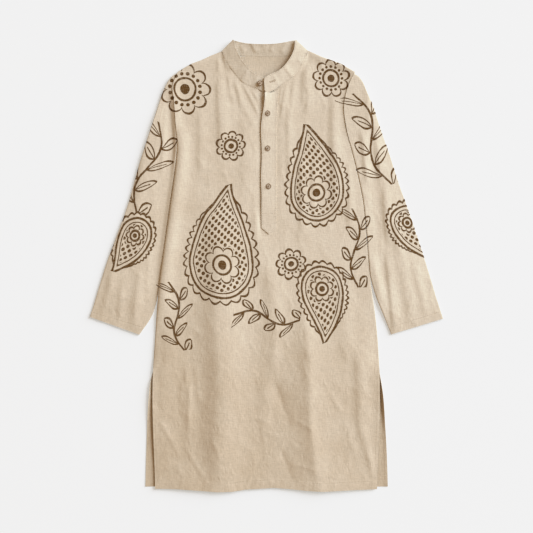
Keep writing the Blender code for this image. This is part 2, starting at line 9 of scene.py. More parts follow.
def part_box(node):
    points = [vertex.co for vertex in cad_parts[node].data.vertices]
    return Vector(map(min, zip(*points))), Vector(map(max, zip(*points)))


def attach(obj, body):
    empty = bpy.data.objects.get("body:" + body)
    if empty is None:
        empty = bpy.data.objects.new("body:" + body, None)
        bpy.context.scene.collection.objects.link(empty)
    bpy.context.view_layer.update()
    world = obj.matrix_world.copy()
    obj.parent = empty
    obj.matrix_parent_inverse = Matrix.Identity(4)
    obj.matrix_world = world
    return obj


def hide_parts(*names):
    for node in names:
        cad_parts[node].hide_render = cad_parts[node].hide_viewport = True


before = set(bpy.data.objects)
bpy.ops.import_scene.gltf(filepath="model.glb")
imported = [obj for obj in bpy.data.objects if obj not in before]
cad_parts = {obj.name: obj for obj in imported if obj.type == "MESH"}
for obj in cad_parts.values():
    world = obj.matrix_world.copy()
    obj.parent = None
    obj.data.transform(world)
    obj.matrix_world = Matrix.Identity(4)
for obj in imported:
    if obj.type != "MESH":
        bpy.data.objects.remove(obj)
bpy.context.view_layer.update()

bpy.ops.object.select_all(action="DESELECT")

# ---- Table, light and camera ----
# The kurta lies on a plain, white and faintly glowing table: the glow is painted light that keeps its shadows
# pale. A large softbox stands low at its upper right, the room fills the shade, and the camera looks straight
# down.
picture = bpy.context.scene.view_settings
picture.view_transform = "Standard"
picture.use_curve_mapping = True       # the camera's tone curve rolls off above the white of the table
picture.curve_mapping.extend = "HORIZONTAL"
tone_curve = picture.curve_mapping.curves[3]
for level, shown in ((0.55, 0.55), (0.86, 0.855), (0.92, 0.888)):
    tone_curve.points.new(level, shown)
tone_curve.points[-1].location = (1.0, 0.905)
picture.curve_mapping.update()


def link_object(name, data):
    """A new object of the scene, at the origin."""
    made = bpy.data.objects.new(name, data)
    bpy.context.scene.collection.objects.link(made)
    return made


def new_material(name, **values):
    """A material, with its shader's inputs set by name; a name's spaces are written as underscores."""
    material = bpy.data.materials.new(name)
    material.use_nodes = True
    shader = material.node_tree.nodes["Principled BSDF"]
    for label, value in values.items():
        shader.inputs[label.replace("_", " ")].default_value = value
    return material, material.node_tree, shader


bpy.ops.mesh.primitive_plane_add(size=60.0, location=(0, 0, -0.0003))
table_top = bpy.context.object
table_top.name = "table_top"
# The table's material glows a faint cool white: painted light that lifts its shadows and keeps them neutral.
table_top.data.materials.append(new_material(
    "white table with painted glow", Base_Color=(0.555, 0.52, 0.513, 1), Emission_Color=(0.89, 0.98, 1.0, 1),
    Emission_Strength=0.383, Roughness=0.9, Specular_IOR_Level=0.1)[0])

world = bpy.data.worlds.new("room")
bpy.context.scene.world = world
world.use_nodes = True
room_light = world.node_tree.nodes["Background"]
room_light.inputs["Color"].default_value = (1.0, 0.735, 0.47, 1)
room_light.inputs["Strength"].default_value = 0.43

softbox_light = bpy.data.lights.new("softbox", "AREA")
softbox_light.size = 30.0
softbox_light.energy = 34500.0
softbox_light.color = (0.725, 0.862, 1.0)
softbox = link_object("softbox", softbox_light)
softbox.location = (31.0, 18.0, 17.5)
softbox.rotation_euler = (-softbox.location).to_track_quat("-Z", "Y").to_euler()
softbox.visible_camera = False

CAMERA_HEIGHT = 4.0
VIEW_WIDTH = 1.2792
camera_data = bpy.data.cameras.new("camera")
camera = link_object("camera", camera_data)
bpy.context.scene.camera = camera
camera.location = (0.0, -0.0012, CAMERA_HEIGHT)
camera_data.sensor_width = 36.0
camera_data.lens = 36.0 * CAMERA_HEIGHT / VIEW_WIDTH

# ---- Back panel ----
# The back is one width of natural beige linen. It lies flat on the table, turns up to the side and
# shoulder seams, and runs on past the front below the side slits.
MM = 0.001
HEM = -535.0
BACK_HEM = -529.0
SLIT_TOP = -252.0
TIP_X, TIP_Y = 212.0, 466.0    # outer end of a shoulder seam
NECK_RIGHT, NECK_LEFT = -108.0, 100.0
OUTWARD = {"right": -1, "left": 1}
YOKE = 240.0
ARMPIT = {"right": 278.0, "left": 298.0}
ROLL_RADIUS = {"right": 4.2, "left": 2.4, "shoulder": 3.8}
ROLL_REACH = {"right": 11, "left": 1.4, "shoulder": 2}
ROLL_LIP = 0.4
ROLL_TURN = 1.2                # reach of a roll that is nearly flat
ROLL_RUN = 130.0
ROLL_LOW = {"right": 0.4, "left": 0.5}      # share of the roll that is left just above the slit
CLOTH = 0.8
SIDES = {
    "right": (             # y, x
        (-535, -267), (-252, -272), (-170, -267), (-106, -263), (-34, -256),
        (55, -244), (161, -229), (233, -219), (278, -215), (336, -217.5),
        (398, -222), (432, -225), (466, -212)),
    "left": (              # y, x
        (-535, 265), (-254, 271), (-175, 267), (-115, 261), (-53, 252),
        (46, 242), (160, 231), (226, 217), (298, 199), (338, 190),
        (389, 186), (437, 198), (466, 212))}
BACK_SLITS = {
    "right": (             # y, x
        (-529, -290.5), (-422, -287.5), (-314, -282.5), (-272, -277.5), (-252, -272)),
    "left": (              # y, x
        (-529, 291), (-458, 289), (-386, 285), (-305, 279), (-252, 271))}
SHOULDERS = (              # x, y
    ((-212, 466), (-180, 485), (-155, 494), (-136, 503)),
    ((128, 504), (160, 492), (181, 484), (212, 466)))
BACK_NECK = (              # x, y
    (-108, 514), (-92, 508), (-68, 503), (47, 503), (76, 509), (100, 516))


def curve(table, at):
    """Smooth curve through (key, value) rows, for a number or an array."""
    keys, values = np.array(table).T
    slopes = np.gradient(values, keys)
    at = np.clip(at, keys[0], keys[-1])
    i = np.clip(np.searchsorted(keys, at, side="right") - 1, 0, len(keys) - 2)
    step = keys[i + 1] - keys[i]
    t = (at - keys[i]) / step
    return ((1 + 2 * t) * (1 - t) ** 2 * values[i] + t * (1 - t) ** 2 * step * slopes[i]
            + t * t * (3 - 2 * t) * values[i + 1] + t * t * (t - 1) * step * slopes[i + 1])


def line(table, at):
    """Straight lines through (key, value) rows."""
    keys, values = np.array(table).T
    return np.interp(at, keys, values)


def ramp(value, low, high):
    """0 at low and beyond it, 1 at high and beyond it, smooth between them."""
    t = np.clip((value - low) / (high - low), 0.0, 1.0)
    return t * t * (3 - 2 * t)


def bell(distance, half_width):
    return np.exp(-(distance / half_width) ** 2)


def mix(a, b, weight):
    return a + (b - a) * weight


def side_x(side, y):
    return curve(SIDES[side], y)


def back_side_x(side, y):
    return np.where(y >= SLIT_TOP, side_x(side, y), curve(BACK_SLITS[side], y))


def side_roll(side, y):
    """Share of its full roll, 0 to 1, that a side has at this height of the body."""
    lower = ramp(y, SLIT_TOP, SLIT_TOP + 40) * mix(ROLL_LOW[side], 1.0, ramp(y, -210.0, -60.0))
    return lower * ramp(y, ARMPIT[side] + ROLL_RUN / 2, ARMPIT[side])


def shoulder_roll(x):
    return ramp(x, NECK_RIGHT, NECK_RIGHT - ROLL_RUN / 2) + ramp(x, NECK_LEFT, NECK_LEFT + ROLL_RUN / 2)


def roll_steps(roll, side):
    """Rows of points in a rolled edge: how far in from the edge, and how far below the level face."""
    radius, reach = ROLL_RADIUS[side], mix(ROLL_TURN, ROLL_REACH[side], roll ** 2)
    steps = [(0.0 * roll, roll * (radius + ROLL_LIP))]
    for angle in np.radians((0.0, 18.0, 36.0, 54.0, 72.0, 90.0)):
        inward = ROLL_LIP * (1 - roll) + reach * (1 - math.cos(angle))
        steps.append((inward, roll * radius * (1 - math.sin(angle))))
    return steps


def panel_plan(shoulder, neck, low, high, top_of, hem_of, side_of):
    """Plan of a body panel's points, row by row, with the drop of its rolled edges.

    The columns split each shoulder and the neck evenly, the rows the skirt and the yoke.
    """
    edges = {side: [step[0] for step in roll_steps(0.0, side)[:-1]] for side in SIDES}
    reach = {side: ROLL_REACH[side] + ROLL_LIP for side in SIDES}
    low_x, high_x = reach["right"] - TIP_X, TIP_X - reach["left"]
    tops = np.concatenate([np.linspace(low_x, NECK_RIGHT, shoulder, endpoint=False),
                           np.linspace(NECK_RIGHT, NECK_LEFT, neck, endpoint=False),
                           np.linspace(NECK_LEFT, high_x, shoulder + 1)])
    top_x = np.concatenate([[inward - TIP_X for inward in edges["right"]], tops,
                            [TIP_X - inward for inward in edges["left"][::-1]]])
    folded = len(edges["left"])
    share_x = np.concatenate([[0] * folded, (tops - low_x) / (high_x - low_x), [1] * folded])
    top_y = top_of(top_x)
    hem_y = hem_of(mix(side_of("right", HEM), side_of("left", HEM), share_x))
    rolled = roll_steps(shoulder_roll(top_x), "shoulder")
    rows, drops, shares = [], [], []
    for k in range(low + high):
        if k < low:
            rows.append(mix(hem_y, YOKE, k / low))
        else:
            rows.append(mix(YOKE, top_y - rolled[-1][0], (k - low) / high))
        drops.append(0 * top_y)
        shares.append(k / (low + high))
    for inward, drop in rolled[::-1]:
        rows.append(top_y - inward)
        drops.append(drop)
        shares.append(1.0)
    y, drop, share = np.array(rows), np.array(drops), np.array(shares)[:, None]
    at = np.minimum(y, TIP_Y)
    rails = {side: side_of(side, at) for side in SIDES}
    top_at = np.minimum(top_y, TIP_Y)
    top_low = side_of("right", top_at) + reach["right"]
    top_high = side_of("left", top_at) - reach["left"]
    top_share = (top_x - top_low) / (top_high - top_low)
    x = mix(rails["right"] + reach["right"], rails["left"] - reach["left"], mix(share_x, top_share, share))
    for k in range(folded):
        for side, column in (("right", k), ("left", -1 - k)):
            inward, fall = roll_steps(side_roll(side, y[:, column]), side)[k]
            x[:, column] = rails[side][:, column] - OUTWARD[side] * inward
            drop[:, column] += fall
    return x, y, drop


def cloth_piece(name, points, outer, inner, plan=None, wall=CLOTH, face_down=False):
    """A sheet of cloth from rows of points in millimetres, with a wall on its inner side.

    A closed ring repeats its first point. The UV map holds the plan in metres, which the weave and
    the print follow; the inner face and the rims take the second material.
    """
    points = np.asarray(points, dtype=float)
    plan = points[..., :2] if plan is None else np.asarray(plan)
    rows, columns = points.shape[:2]
    closed = np.allclose(points[:, 0], points[:, -1])
    kept = columns - 1 if closed else columns
    faces, corners = [], []
    for r in range(rows - 1):
        for c in range(columns - 1):
            square = ((r, c), (r, c + 1), (r + 1, c + 1), (r + 1, c))
            square = square[::-1] if face_down else square
            faces.append([row * kept + column % kept for row, column in square])
            corners += [plan[corner] for corner in square]
    mesh = bpy.data.meshes.new(name)
    mesh.from_pydata((points[:, :kept].reshape(-1, 3) * MM).tolist(), [], faces)
    mesh.uv_layers.new(name="plan").data.foreach_set("uv", (np.array(corners) * MM).ravel())
    mesh.materials.append(outer)
    mesh.materials.append(inner)
    mesh.shade_smooth()
    piece = link_object(name, mesh)
    bpy.context.view_layer.objects.active = piece
    solid = piece.modifiers.new("wall", "SOLIDIFY")
    solid.thickness = wall * MM
    solid.offset = -1
    solid.use_quality_normals = True
    solid.material_offset = 1
    solid.material_offset_rim = 1
    bpy.ops.object.modifier_apply(modifier="wall")
    piece.data.set_sharp_from_angle(angle=math.radians(60))
    return piece


class Value:
    """A number that a node tree works out; arithmetic on it adds Math nodes to the tree."""

    def __init__(self, tree, socket):
        self.tree = tree
        self.socket = socket

    def calc(self, operation, *others):
        node = add_node(self.tree, "Math", enumerate((self, *others)), operation=operation)
        return Value(self.tree, node.outputs[0])

    __add__ = functools.partialmethod(calc, "ADD")
    __sub__ = functools.partialmethod(calc, "SUBTRACT")
    __mul__ = functools.partialmethod(calc, "MULTIPLY")
    __truediv__ = functools.partialmethod(calc, "DIVIDE")
    __lt__ = functools.partialmethod(calc, "LESS_THAN")
    __gt__ = functools.partialmethod(calc, "GREATER_THAN")
    __abs__ = functools.partialmethod(calc, "ABSOLUTE")


def add_node(tree, kind, inputs, **settings):
    """A shader node with its settings. Its inputs, by name or number, take values, sockets or Values."""
    node = tree.nodes.new("ShaderNode" + kind)
    for name, setting in settings.items():
        setattr(node, name, setting)
    for name, value in dict(inputs).items():
        if isinstance(value, Value):
            value = value.socket
        if isinstance(value, bpy.types.NodeSocket):
            tree.links.new(value, node.inputs[name])
        else:
            node.inputs[name].default_value = value
    return node


def new_noise(tree, position, scale, detail=2.0, **inputs):
    inputs = {"Vector": position, "Scale": scale, "Detail": detail, **inputs}
    return add_node(tree, "TexNoise", inputs)


def blend_colour(tree, factor, first, second, mode="MIX"):
    node = add_node(tree, "Mix", {0: factor, 6: first, 7: second}, data_type="RGBA", blend_type=mode)
    return node.outputs[2]


def new_group(name, inputs, outputs):
    """A node group of numbers, whose input named Position is a vector."""
    group = bpy.data.node_groups.new(name, "ShaderNodeTree")
    for labels, way in ((inputs, "INPUT"), (outputs, "OUTPUT")):
        for label in labels:
            kind = "NodeSocketVector" if label == "Position" else "NodeSocketFloat"
            group.interface.new_socket(name=label, in_out=way, socket_type=kind)
    return group, group.nodes.new("NodeGroupInput").outputs, group.nodes.new("NodeGroupOutput").inputs


def streaks(tree, position, across, along, detail=1.0):
    """Noise stretched along the warp plus noise stretched along the weft, centred on zero."""
    total = None
    for scale in ((across, along, 40.0), (along, across, 40.0)):
        mapping = add_node(tree, "Mapping", {"Vector": position, "Scale": scale})
        yarn = Value(tree, new_noise(tree, mapping.outputs["Vector"], 1.0, detail).outputs["Fac"]) - 0.5
        total = yarn if total is None else total + yarn
    return total


def build_weave():
    """Plain weave of slubby linen yarn: its shade and height, from warp and weft streaks."""
    group, source, result = new_group("linen weave", ["Position"], ["Shade", "Height"])
    fine = streaks(group, source["Position"], 1300.0, 60.0, 2.0)
    slubs = streaks(group, source["Position"], 420.0, 90.0)
    thick = streaks(group, source["Position"], 230.0, 24.0)
    height = fine + (slubs + thick * 0.35) * 1.4
    group.links.new((height * 0.15 + 1.0).socket, result["Shade"])
    group.links.new(height.socket, result["Height"])
    return group


def build_wrinkles():
    """Height in millimetres of the fine wrinkles of worn linen: facets between crisp creases, two sizes."""
    group, source, result = new_group("linen wrinkles", ["Position"], ["Height"])
    bend = new_noise(group, source["Position"], 45.0).outputs["Color"]
    bent = add_node(group, "VectorMath", {0: bend, 1: (0.014, 0.014, 0), 2: source["Position"]},
                    operation="MULTIPLY_ADD").outputs["Vector"]
    total = None
    for wide, long, patch, height in ((0.030, 0.050, 16.0, 7.0), (0.011, 0.021, 30.0, 3.2)):
        mapping = add_node(group, "Mapping", {
            "Vector": bent, "Rotation": (0, 0, 0.3), "Scale": (1 / wide, 1 / long, 1)})
        cells = add_node(group, "TexVoronoi", {"Vector": mapping.outputs["Vector"], "Scale": 1.0},
                         voronoi_dimensions="2D", feature="DISTANCE_TO_EDGE")
        mask = Value(group, new_noise(group, source["Position"], patch).outputs["Fac"])
        facets = Value(group, cells.outputs["Distance"]) * ((mask - 0.5) * height)
        total = facets if total is None else total + facets
    group.links.new(total.socket, result["Height"])
    return group


weave_group = build_weave()
wrinkle_group = build_wrinkles()
LINEN_LIGHT = (0.690, 0.590, 0.462, 1)
# The dark linen colour is the yarn's darker tone and also the colour of the painted shade.
LINEN_DARK = (0.570, 0.450, 0.320, 1)
INK = (0.112, 0.052, 0.012, 1)


def linen_material(name, print_group=None, depth=0.0):
    """Matt natural linen. The yarn's tone drifts over a hand's width, and ink lets the weave show. Painted
    shade darkens it toward the hem and the wearer's right.
    """
    material, tree, shader = new_material(name, Roughness=0.9, Specular_IOR_Level=0.1,
                                          Sheen_Weight=0.03, Sheen_Roughness=0.6)
    place = tree.nodes.new("ShaderNodeUVMap")
    place.uv_map = "plan"
    plan = place.outputs["UV"]
    parts = add_node(tree, "SeparateXYZ", {"Vector": plan}).outputs
    weave = add_node(tree, "Group", {"Position": plan}, node_tree=weave_group).outputs
    wrinkles = add_node(tree, "Group", {"Position": plan}, node_tree=wrinkle_group).outputs
    cloud = new_noise(tree, plan, 12.0, 4.0)
    # Painted shade: this map and the X term below make the cloth darker toward the hem and toward the
    # wearer's right, away from the softbox. Depth shifts the whole tone: darker is painted shade, lighter is
    # painted light.
    skirt = add_node(tree, "MapRange", {
        "Value": parts["Y"], "From Min": -0.34, "From Max": -0.02, "To Min": depth + 0.27,
        "To Max": depth - 0.26}, interpolation_type="SMOOTHSTEP")
    tone = Value(tree, cloud.outputs["Fac"]) + skirt.outputs["Result"] + Value(tree, parts["X"]) * -0.6
    cloth = blend_colour(tree, tone, LINEN_LIGHT, LINEN_DARK)
    shade = add_node(tree, "CombineColor", {channel: weave["Shade"] for channel in range(3)})
    cloth = blend_colour(tree, 1.0, cloth, shade.outputs["Color"], "MULTIPLY")
    if print_group:
        ink = add_node(tree, "Group", {"Position": plan}, node_tree=print_group)
        soaked = Value(tree, weave["Height"]) * -0.45 + 1.0
        cover = (soaked * ink.outputs["Ink"]).calc("MINIMUM", 1.0)
        cloth = blend_colour(tree, cover, cloth, INK)
    tree.links.new(cloth, shader.inputs["Base Color"])
    fresh = add_node(tree, "MapRange", {
        "Value": parts["Y"], "From Min": -0.30, "From Max": 0.05, "To Min": 1.0, "To Max": 0.55})
    creased = add_node(tree, "Bump", {
        "Strength": fresh.outputs["Result"], "Distance": 0.001, "Height": wrinkles["Height"]})
    bump = add_node(tree, "Bump", {
        "Strength": 0.3, "Distance": 0.0005, "Height": weave["Height"], "Normal": creased.outputs["Normal"]})
    tree.links.new(bump.outputs["Normal"], shader.inputs["Normal"])
    return material


def dress(piece, node):
    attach(piece, "root")
    if node:
        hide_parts(node)


# The inside and the back take the linen darker: painted shade, as for cloth lying under the front.
shaded_inside_linen = linen_material("linen inside with painted shade", depth=0.42)


def back_top_y(x):
    return line(SHOULDERS[0] + BACK_NECK + SHOULDERS[1], x)


def back_z(x, y):
    """Height of the back's under face: flat, but for its slit edges, which curl up past the front."""
    below_slit = ramp(y, SLIT_TOP, SLIT_TOP - 25)
    curls = 0.0
    for side, flat, high, length in (("right", 0.4, 4.8, 65.0), ("left", 0.8, 8.0, 75.0)):
        edge = side_x(side, y)
        share = (x - edge) / (back_side_x(side, y) - edge - 0.1)
        curls = curls + ramp(share, 0.52, 0.98) * mix(flat, high, bell(y + 305.0, length))
    neck_seam = 0.6 * bell(y - 503.0, 9.0) * ramp(np.abs(x), 95.0, 75.0)
    return curls * below_slit + neck_seam


x, y, rise = panel_plan(shoulder=40, neck=22, low=80, high=26, top_of=back_top_y,
                        hem_of=lambda at: BACK_HEM + 0 * at, side_of=back_side_x)
back = cloth_piece("back_cloth", np.dstack([x, y, rise + back_z(x, y)]), shaded_inside_linen, shaded_inside_linen,
                   face_down=True)
dress(back, "back")

# ---- Printed ornament ----
# The front and sleeves carry a hand-drawn brown print: large paisleys filled with dots round a
# flower, round flowers, and leafy stems, all in one ink that soaks into the linen.
INK_LINE = 2.6                 # half width of a drawn line


def on_line(distance, half_width):
    """1 on a drawn line, with an edge softened over a thread or two."""
    node = add_node(distance.tree, "MapRange", {
        "Value": abs(distance), "From Min": half_width * 0.75, "From Max": half_width * 1.25,
        "To Min": 1.0, "To Max": 0.0}, interpolation_type="SMOOTHSTEP")
    return Value(distance.tree, node.outputs["Result"])


def highest(*values):
    return functools.reduce(lambda first, second: first.calc("MAXIMUM", second), values)


def length_of(across, along):
    return (across * across + along * along).calc("SQRT")


def dots(across, along, pitch):
    """Round dots in a diagonal lattice."""
    first = ((across + along) / pitch).calc("FRACT") - 0.5
    second = ((across - along) / pitch).calc("FRACT") - 0.5
    return length_of(first, second) < 0.35


def petals(across, along, count, reach, depth):
    """Distance outside a flower's rounded petals, and the distance from its middle."""
    middle = length_of(across, along)
    angle = along.calc("ARCTAN2", across)
    wave = abs((angle * (count / 2)).calc("COSINE")).calc("POWER", 0.6)
    return middle - (wave * depth + reach), middle


def draw_paisley(across, along, unit, width):
    """A drop whose tip bends over: double outline, scalloped border, dots all over, a flower inside."""
    bend, fullness = 0.62, 2.5
    share = (along * 0.5 + 0.5).calc("MINIMUM", 1.0)
    rest = share * -1.0 + 1.0
    square = share * share
    bent = across - square * share * bend
    field = bent * bent - share * rest * rest * fullness
    slope_y = rest * (share * 3.0 - 1.0) * (fullness / 2) - bent * square * (3 * bend)
    outside = field / length_of(bent * 2.0, slope_y).calc("MAXIMUM", 0.05)
    outline = on_line(outside, width)
    second = on_line(outside + unit * 4.2, width * 0.7)
    scallop = abs(((along + 0.1).calc("ARCTAN2", across) * 14.0).calc("SINE"))
    fade = (along * -2.2 + 1.7).calc("MAXIMUM", 0.0).calc("MINIMUM", 1.0)
    border = on_line(outside - (scallop * 0.055 + unit * 2.8) * fade, width * 0.8) * (along < 0.75)
    edge, middle = petals(across - 0.02, along + 0.40, 8, 0.24, 0.10)
    flower = highest(on_line(edge, width * 0.85), on_line(middle - 0.175, width), middle < 0.085)
    spots = dots(bent, along, unit * 6.4) * (outside + unit * 6.0 < 0.0) * (edge > unit * 1.9)
    return highest(outline, second, border, flower, spots) * (along < 0.97)


def draw_flower(across, along, unit, width):
    """A round flower: petals, a ring of beads, a ring and a solid eye."""
    edge, middle = petals(across, along, 9, 0.70, 0.26)
    angle = along.calc("ARCTAN2", across) * (16 / (2 * math.pi))
    beads = length_of((angle.calc("FRACT") - 0.5) * 0.235, middle - 0.60) < 0.072
    return highest(on_line(edge, width), beads, on_line(middle - 0.42, width), middle < 0.19)


def draw_stem(across, along, unit, width):
    """A waving stem with veined leaves to both sides, from -1 to 1 along."""
    pairs = 2.0
    bent = across - (along * 3.6).calc("SINE") * 0.14
    shift = bent.calc("SIGN") * 0.25
    cell = along * pairs + shift
    inside_cell = cell.calc("FRACT") - 0.5
    kept = abs(cell - inside_cell - shift) < 0.9 * pairs
    leaf_x = abs(bent) - 0.20
    leaf_y = inside_cell / pairs - leaf_x * 0.8
    rim = on_line(abs(leaf_y) - (leaf_x * leaf_x * -3.2 + 0.105), width * 0.9)
    vein = on_line(leaf_y, width * 0.6) * (leaf_x < 0.08)
    leaf = highest(rim, vein) * (abs(leaf_x) < 0.182) * kept
    return highest(on_line(bent, width), leaf) * (abs(along) < 1.0)


def build_motif(name, draw):
    """A group that draws one motif, in units of its half size; Line is the drawn line's half width."""
    group, source, result = new_group(name, ["Across", "Along", "Line", "Pressure"], ["Ink"])
    across, along, unit, pressure = (Value(group, socket) for socket in list(source)[:4])
    group.links.new(draw(across, along, unit, unit * pressure).socket, result["Ink"])
    return group


DRIFT = 4.0                    # about what the tremor adds, because its noise is never negative
MOTIFS = (                 # motif, x, y, turn, width, length
    ("paisley", -122, 54, 16, 124, 132),
    ("paisley", 132, 222, -12, -104, 112),
    ("paisley", 150, -86, 204, 80, 88),
    ("flower", -194, 424, 0, 62, 62),
    ("flower", 156, 452, 12, 46, 46),
    ("flower", -84, 290, 5, 36, 36),
    ("flower", 60, 6, 20, 38, 38),
    ("paisley", 342, 78, 192, -62, 70),
    ("paisley", -318, 46, 168, 62, 70),
    ("leafy stem", -284, 236, -17, 112, 112),
    ("leafy stem", 254, 306, 20, 118, 118),
    ("leafy stem", 214, 44, 2, 88, 94),
    ("leafy stem", -214, -120, 10, 84, 84),
    ("leafy stem", 2, -122, 82, 84, 80))


def build_print():
    """The whole print in the plan of the laid garment; every motif is placed by its middle.

    Two slow noises make the hand's tremor, and a third thickens and thins the line.
    """
    group, source, result = new_group("print", ["Position"], ["Ink"])
    position = source["Position"]
    for scale, reach in ((14.0, 0.009), (90.0, 0.0014)):
        tremor = new_noise(group, source["Position"], scale, 1.0).outputs["Color"]
        shifted = add_node(group, "VectorMath", {0: tremor, 1: (reach, reach, 0), 2: position},
                           operation="MULTIPLY_ADD")
        position = shifted.outputs["Vector"]
    pressure = Value(group, new_noise(group, source["Position"], 45.0).outputs["Fac"]) * 0.8 + 0.6
    motifs = {name: build_motif(name, draw) for name, draw in (
        ("paisley", draw_paisley), ("flower", draw_flower), ("leafy stem", draw_stem))}
    inks = []
    for kind, x, y, turn, width, length in MOTIFS:
        local = add_node(group, "Mapping", {
            "Vector": position, "Location": ((x + DRIFT) * MM, (y + DRIFT) * MM, 0),
            "Rotation": (0, 0, math.radians(turn)), "Scale": (width * MM, length * MM, 1)},
            vector_type="TEXTURE")
        parts = add_node(group, "SeparateXYZ", {"Vector": local.outputs["Vector"]}).outputs
        motif = add_node(group, "Group", {
            "Across": parts["X"], "Along": parts["Y"], "Pressure": pressure,
            "Line": INK_LINE / math.sqrt(abs(width * length))}, node_tree=motifs[kind])
        inks.append(Value(group, motif.outputs["Ink"]))
    group.links.new(highest(*inks).socket, result["Ink"])
    return group


printed_linen = linen_material("printed linen", build_print())

# ---- Front panel ----
# The front lies on the back, with a slot cut down from the neck for the placket. Long soft folds run
# down it and short creases fan out from the collar; its sides roll down to the seams.
SLOT = (-5, 19, 126, 480)      # right edge, left edge, foot, and a top above the neck
PLACKET_RIGHT, PLACKET_LEFT = -12.0, 23.0
HEM_DEPTH = 20.0               # how far up the turned hem is sewn
LEVEL = 5.0                    # usual height of the front's outer face
LOWEST = 2.4
SLIT_HEIGHT = {            # y, z
    "right": ((-470, 4.8), (-350, 8), (-285, 7), (-238, 4.4)),
    "left": ((-460, 5), (-330, 6.2))}
EDGE_HEIGHT = {edge: 2 * (radius + ROLL_LIP) for edge, radius in ROLL_RADIUS.items()}
NECK_HEIGHT = (            # x, z
    (-108, 7), (-99, 6.7), (-80, 5.9), (-57, 5.3), (-22, 5), (0, 5), (30, 5.8),
    (66, 5.9), (85, 6.5), (100, 7))
FLAT_EDGE = {"right": 4.6, "left": 2.8}
ARMHOLE_HEIGHT = {"right": 8.2, "left": 6.4}
FRONT_NECK = (             # x, y
    (-108, 514), (-103, 503), (-99, 493), (-90, 479), (-80, 466), (-69, 452),
    (-57, 440), (-40, 431), (-22, 425), (-8, 419), (4, 416), (17, 421),
    (30, 431), (48, 443), (66, 456), (76, 468), (85, 482), (93, 498),
    (100.0, 516.0))
FRONT_HEM = (              # x, y
    (-272, -534), (-224, -535), (-164, -539), (-125, -542), (-89, -541),
    (-57, -536), (15, -532), (55, -535), (94, -539), (134, -541),
    (174, -539), (214, -537), (272, -535))
HEM_HEIGHT = (             # x, z
    (-272, 4), (-240, 5), (-185, 9.4), (-130, 9), (-60, 4.6), (20, 4), (70, 5.8),
    (130, 9.2), (190, 7.6), (245, 4.4), (272, 4))
FOLDS = (                  # x0, y0, x1, y1, width to the wearer's right, width to the left, height
    (-117, 130, -108, -680, 34, 52, 8),
    (-252, 20, -250, -420, 14, 30, 1.7),
    (-23, 140, -19, -40, 10, 22, 1.3),
    (14, 20, 18, -260, 22, 22, 2.6),
    (-8, -240, 0, -420, 14, 20, 1.1),
    (217, -200, 227, -410, 10, 24, 2.3),
    (228, -380, 268, -550, 9, 12, 1.5),
    (184, -40, 188, -240, 16, 20, 1.4),
    (-112, 470, -110, 270, 9, 22, 2),
    (-156, 380, -160, 210, 9, 16, 1.3),
    (-54, 380, -52, 150, 12, 18, 1),
    (97, 480, 98, 360, 6, 16, 1.4),
    (163, 430, 164, 130, 10, 22, 2.4),
    (84, 270, 84, 70, 8, 18, 1.9),
    (112, 260, 114, 110, 6, 10, 1.1),
    (198, 260, 200, 90, 7, 12, 1.6),
    (52, 400, 54, 200, 7, 12, 1),
    (-64, 450, -12, 352, 3.6, 7, 1.2),
    (-46, 438, -12, 384, 3.2, 5, 1),
    (-74, 452, -60, 372, 3.6, 8, 0.9),
    (-96, 464, -78, 384, 4, 9, 0.8),
    (-88, 470, -30, 330, 6, 9, 0.7),
    (50, 452, 34, 350, 4, 8, 1.1),
    (66, 464, 58, 370, 4, 8, 0.8),
    (90, 478, 86, 386, 4, 9, 1.1),
    (38, 440, 30, 388, 3, 5, 0.8),
    (-117, 510, -113, 460, 4, 6, 0.8),
    (124, 512, 132, 470, 4, 6, 1.2),
    (-188, -230, -184, -440, 12, 16, 1.2))
CREASES = (                # x0, y0, x1, y1, width to the wearer's right, width to the left, height
    (90, -90, 128, -680, 46, 44, 6.6),
    (89, -226, 100, -270, 7, 5, 0.8),
    (16, -274, 55, -388, 16, 12, -1.9),
    (70, -367, 114, -393, 6, 6, 1),
    (30, -440, 69, -526, 15, 10, -1.8),
    (60, -474, 126, -493, 6, 6, 0.9),
    (-202, -276, -206, -334, 5, 5, 0.9),
    (-181, -280, -187, -392, 7, 5, 1.3),
    (-195, -244, -191, -302, 4, 5, 0.7),
    (-168, -236, -160, -334, 7, 8, 1),
    (-255, -369, -222, -430, 7, 6, 1.2),
    (-224, -425, -207, -461, 5, 6, 0.9),
    (-194, -430, -140, -520, 9, 7, 1.3),
    (-133, -412, -109, -465, 6, 6, 0.9),
    (-43, -359, 9, -376, 6, 5, 0.7),
    (-3, -396, 35, -415, 5, 5, 0.7),
    (150, -300, 178, -350, 6, 9, 1),
    (186, -372, 204, -440, 6, 8, 1),
    (240, -440, 262, -520, 5, 7, 1.2))
PUCKERS = (-206, -150, -96, -48, -29, -15, 9, 21, 58, 92, 160)


def crest(distance, half_width):
    """A sharp ridge: straight slopes that ease out."""
    return np.exp(-1.3 * (np.sqrt((distance / half_width) ** 2 + 0.01) - 0.1))


def folds_lift(table, x, y, profile=bell):
    """Ridges: each follows its line, steeper on one side, and dies away at both ends."""
    total = 0.0 * x
    for x0, y0, x1, y1, right_width, left_width, height in table:
        length = math.hypot(x1 - x0, y1 - y0)
        ux, uy = (x1 - x0) / length, (y1 - y0) / length
        along = (x - x0) * ux + (y - y0) * uy
        across = (y - y0) * ux - (x - x0) * uy
        across = across + min(right_width * 0.22, 3.0) * np.sin(along / 49.0 + x0)
        ends = ramp(along, -0.1 * length, 0.22 * length) * ramp(along, 1.1 * length, 0.78 * length)
        total = total + height * profile(across, np.where(across < 0, right_width, left_width)) * ends
    return total


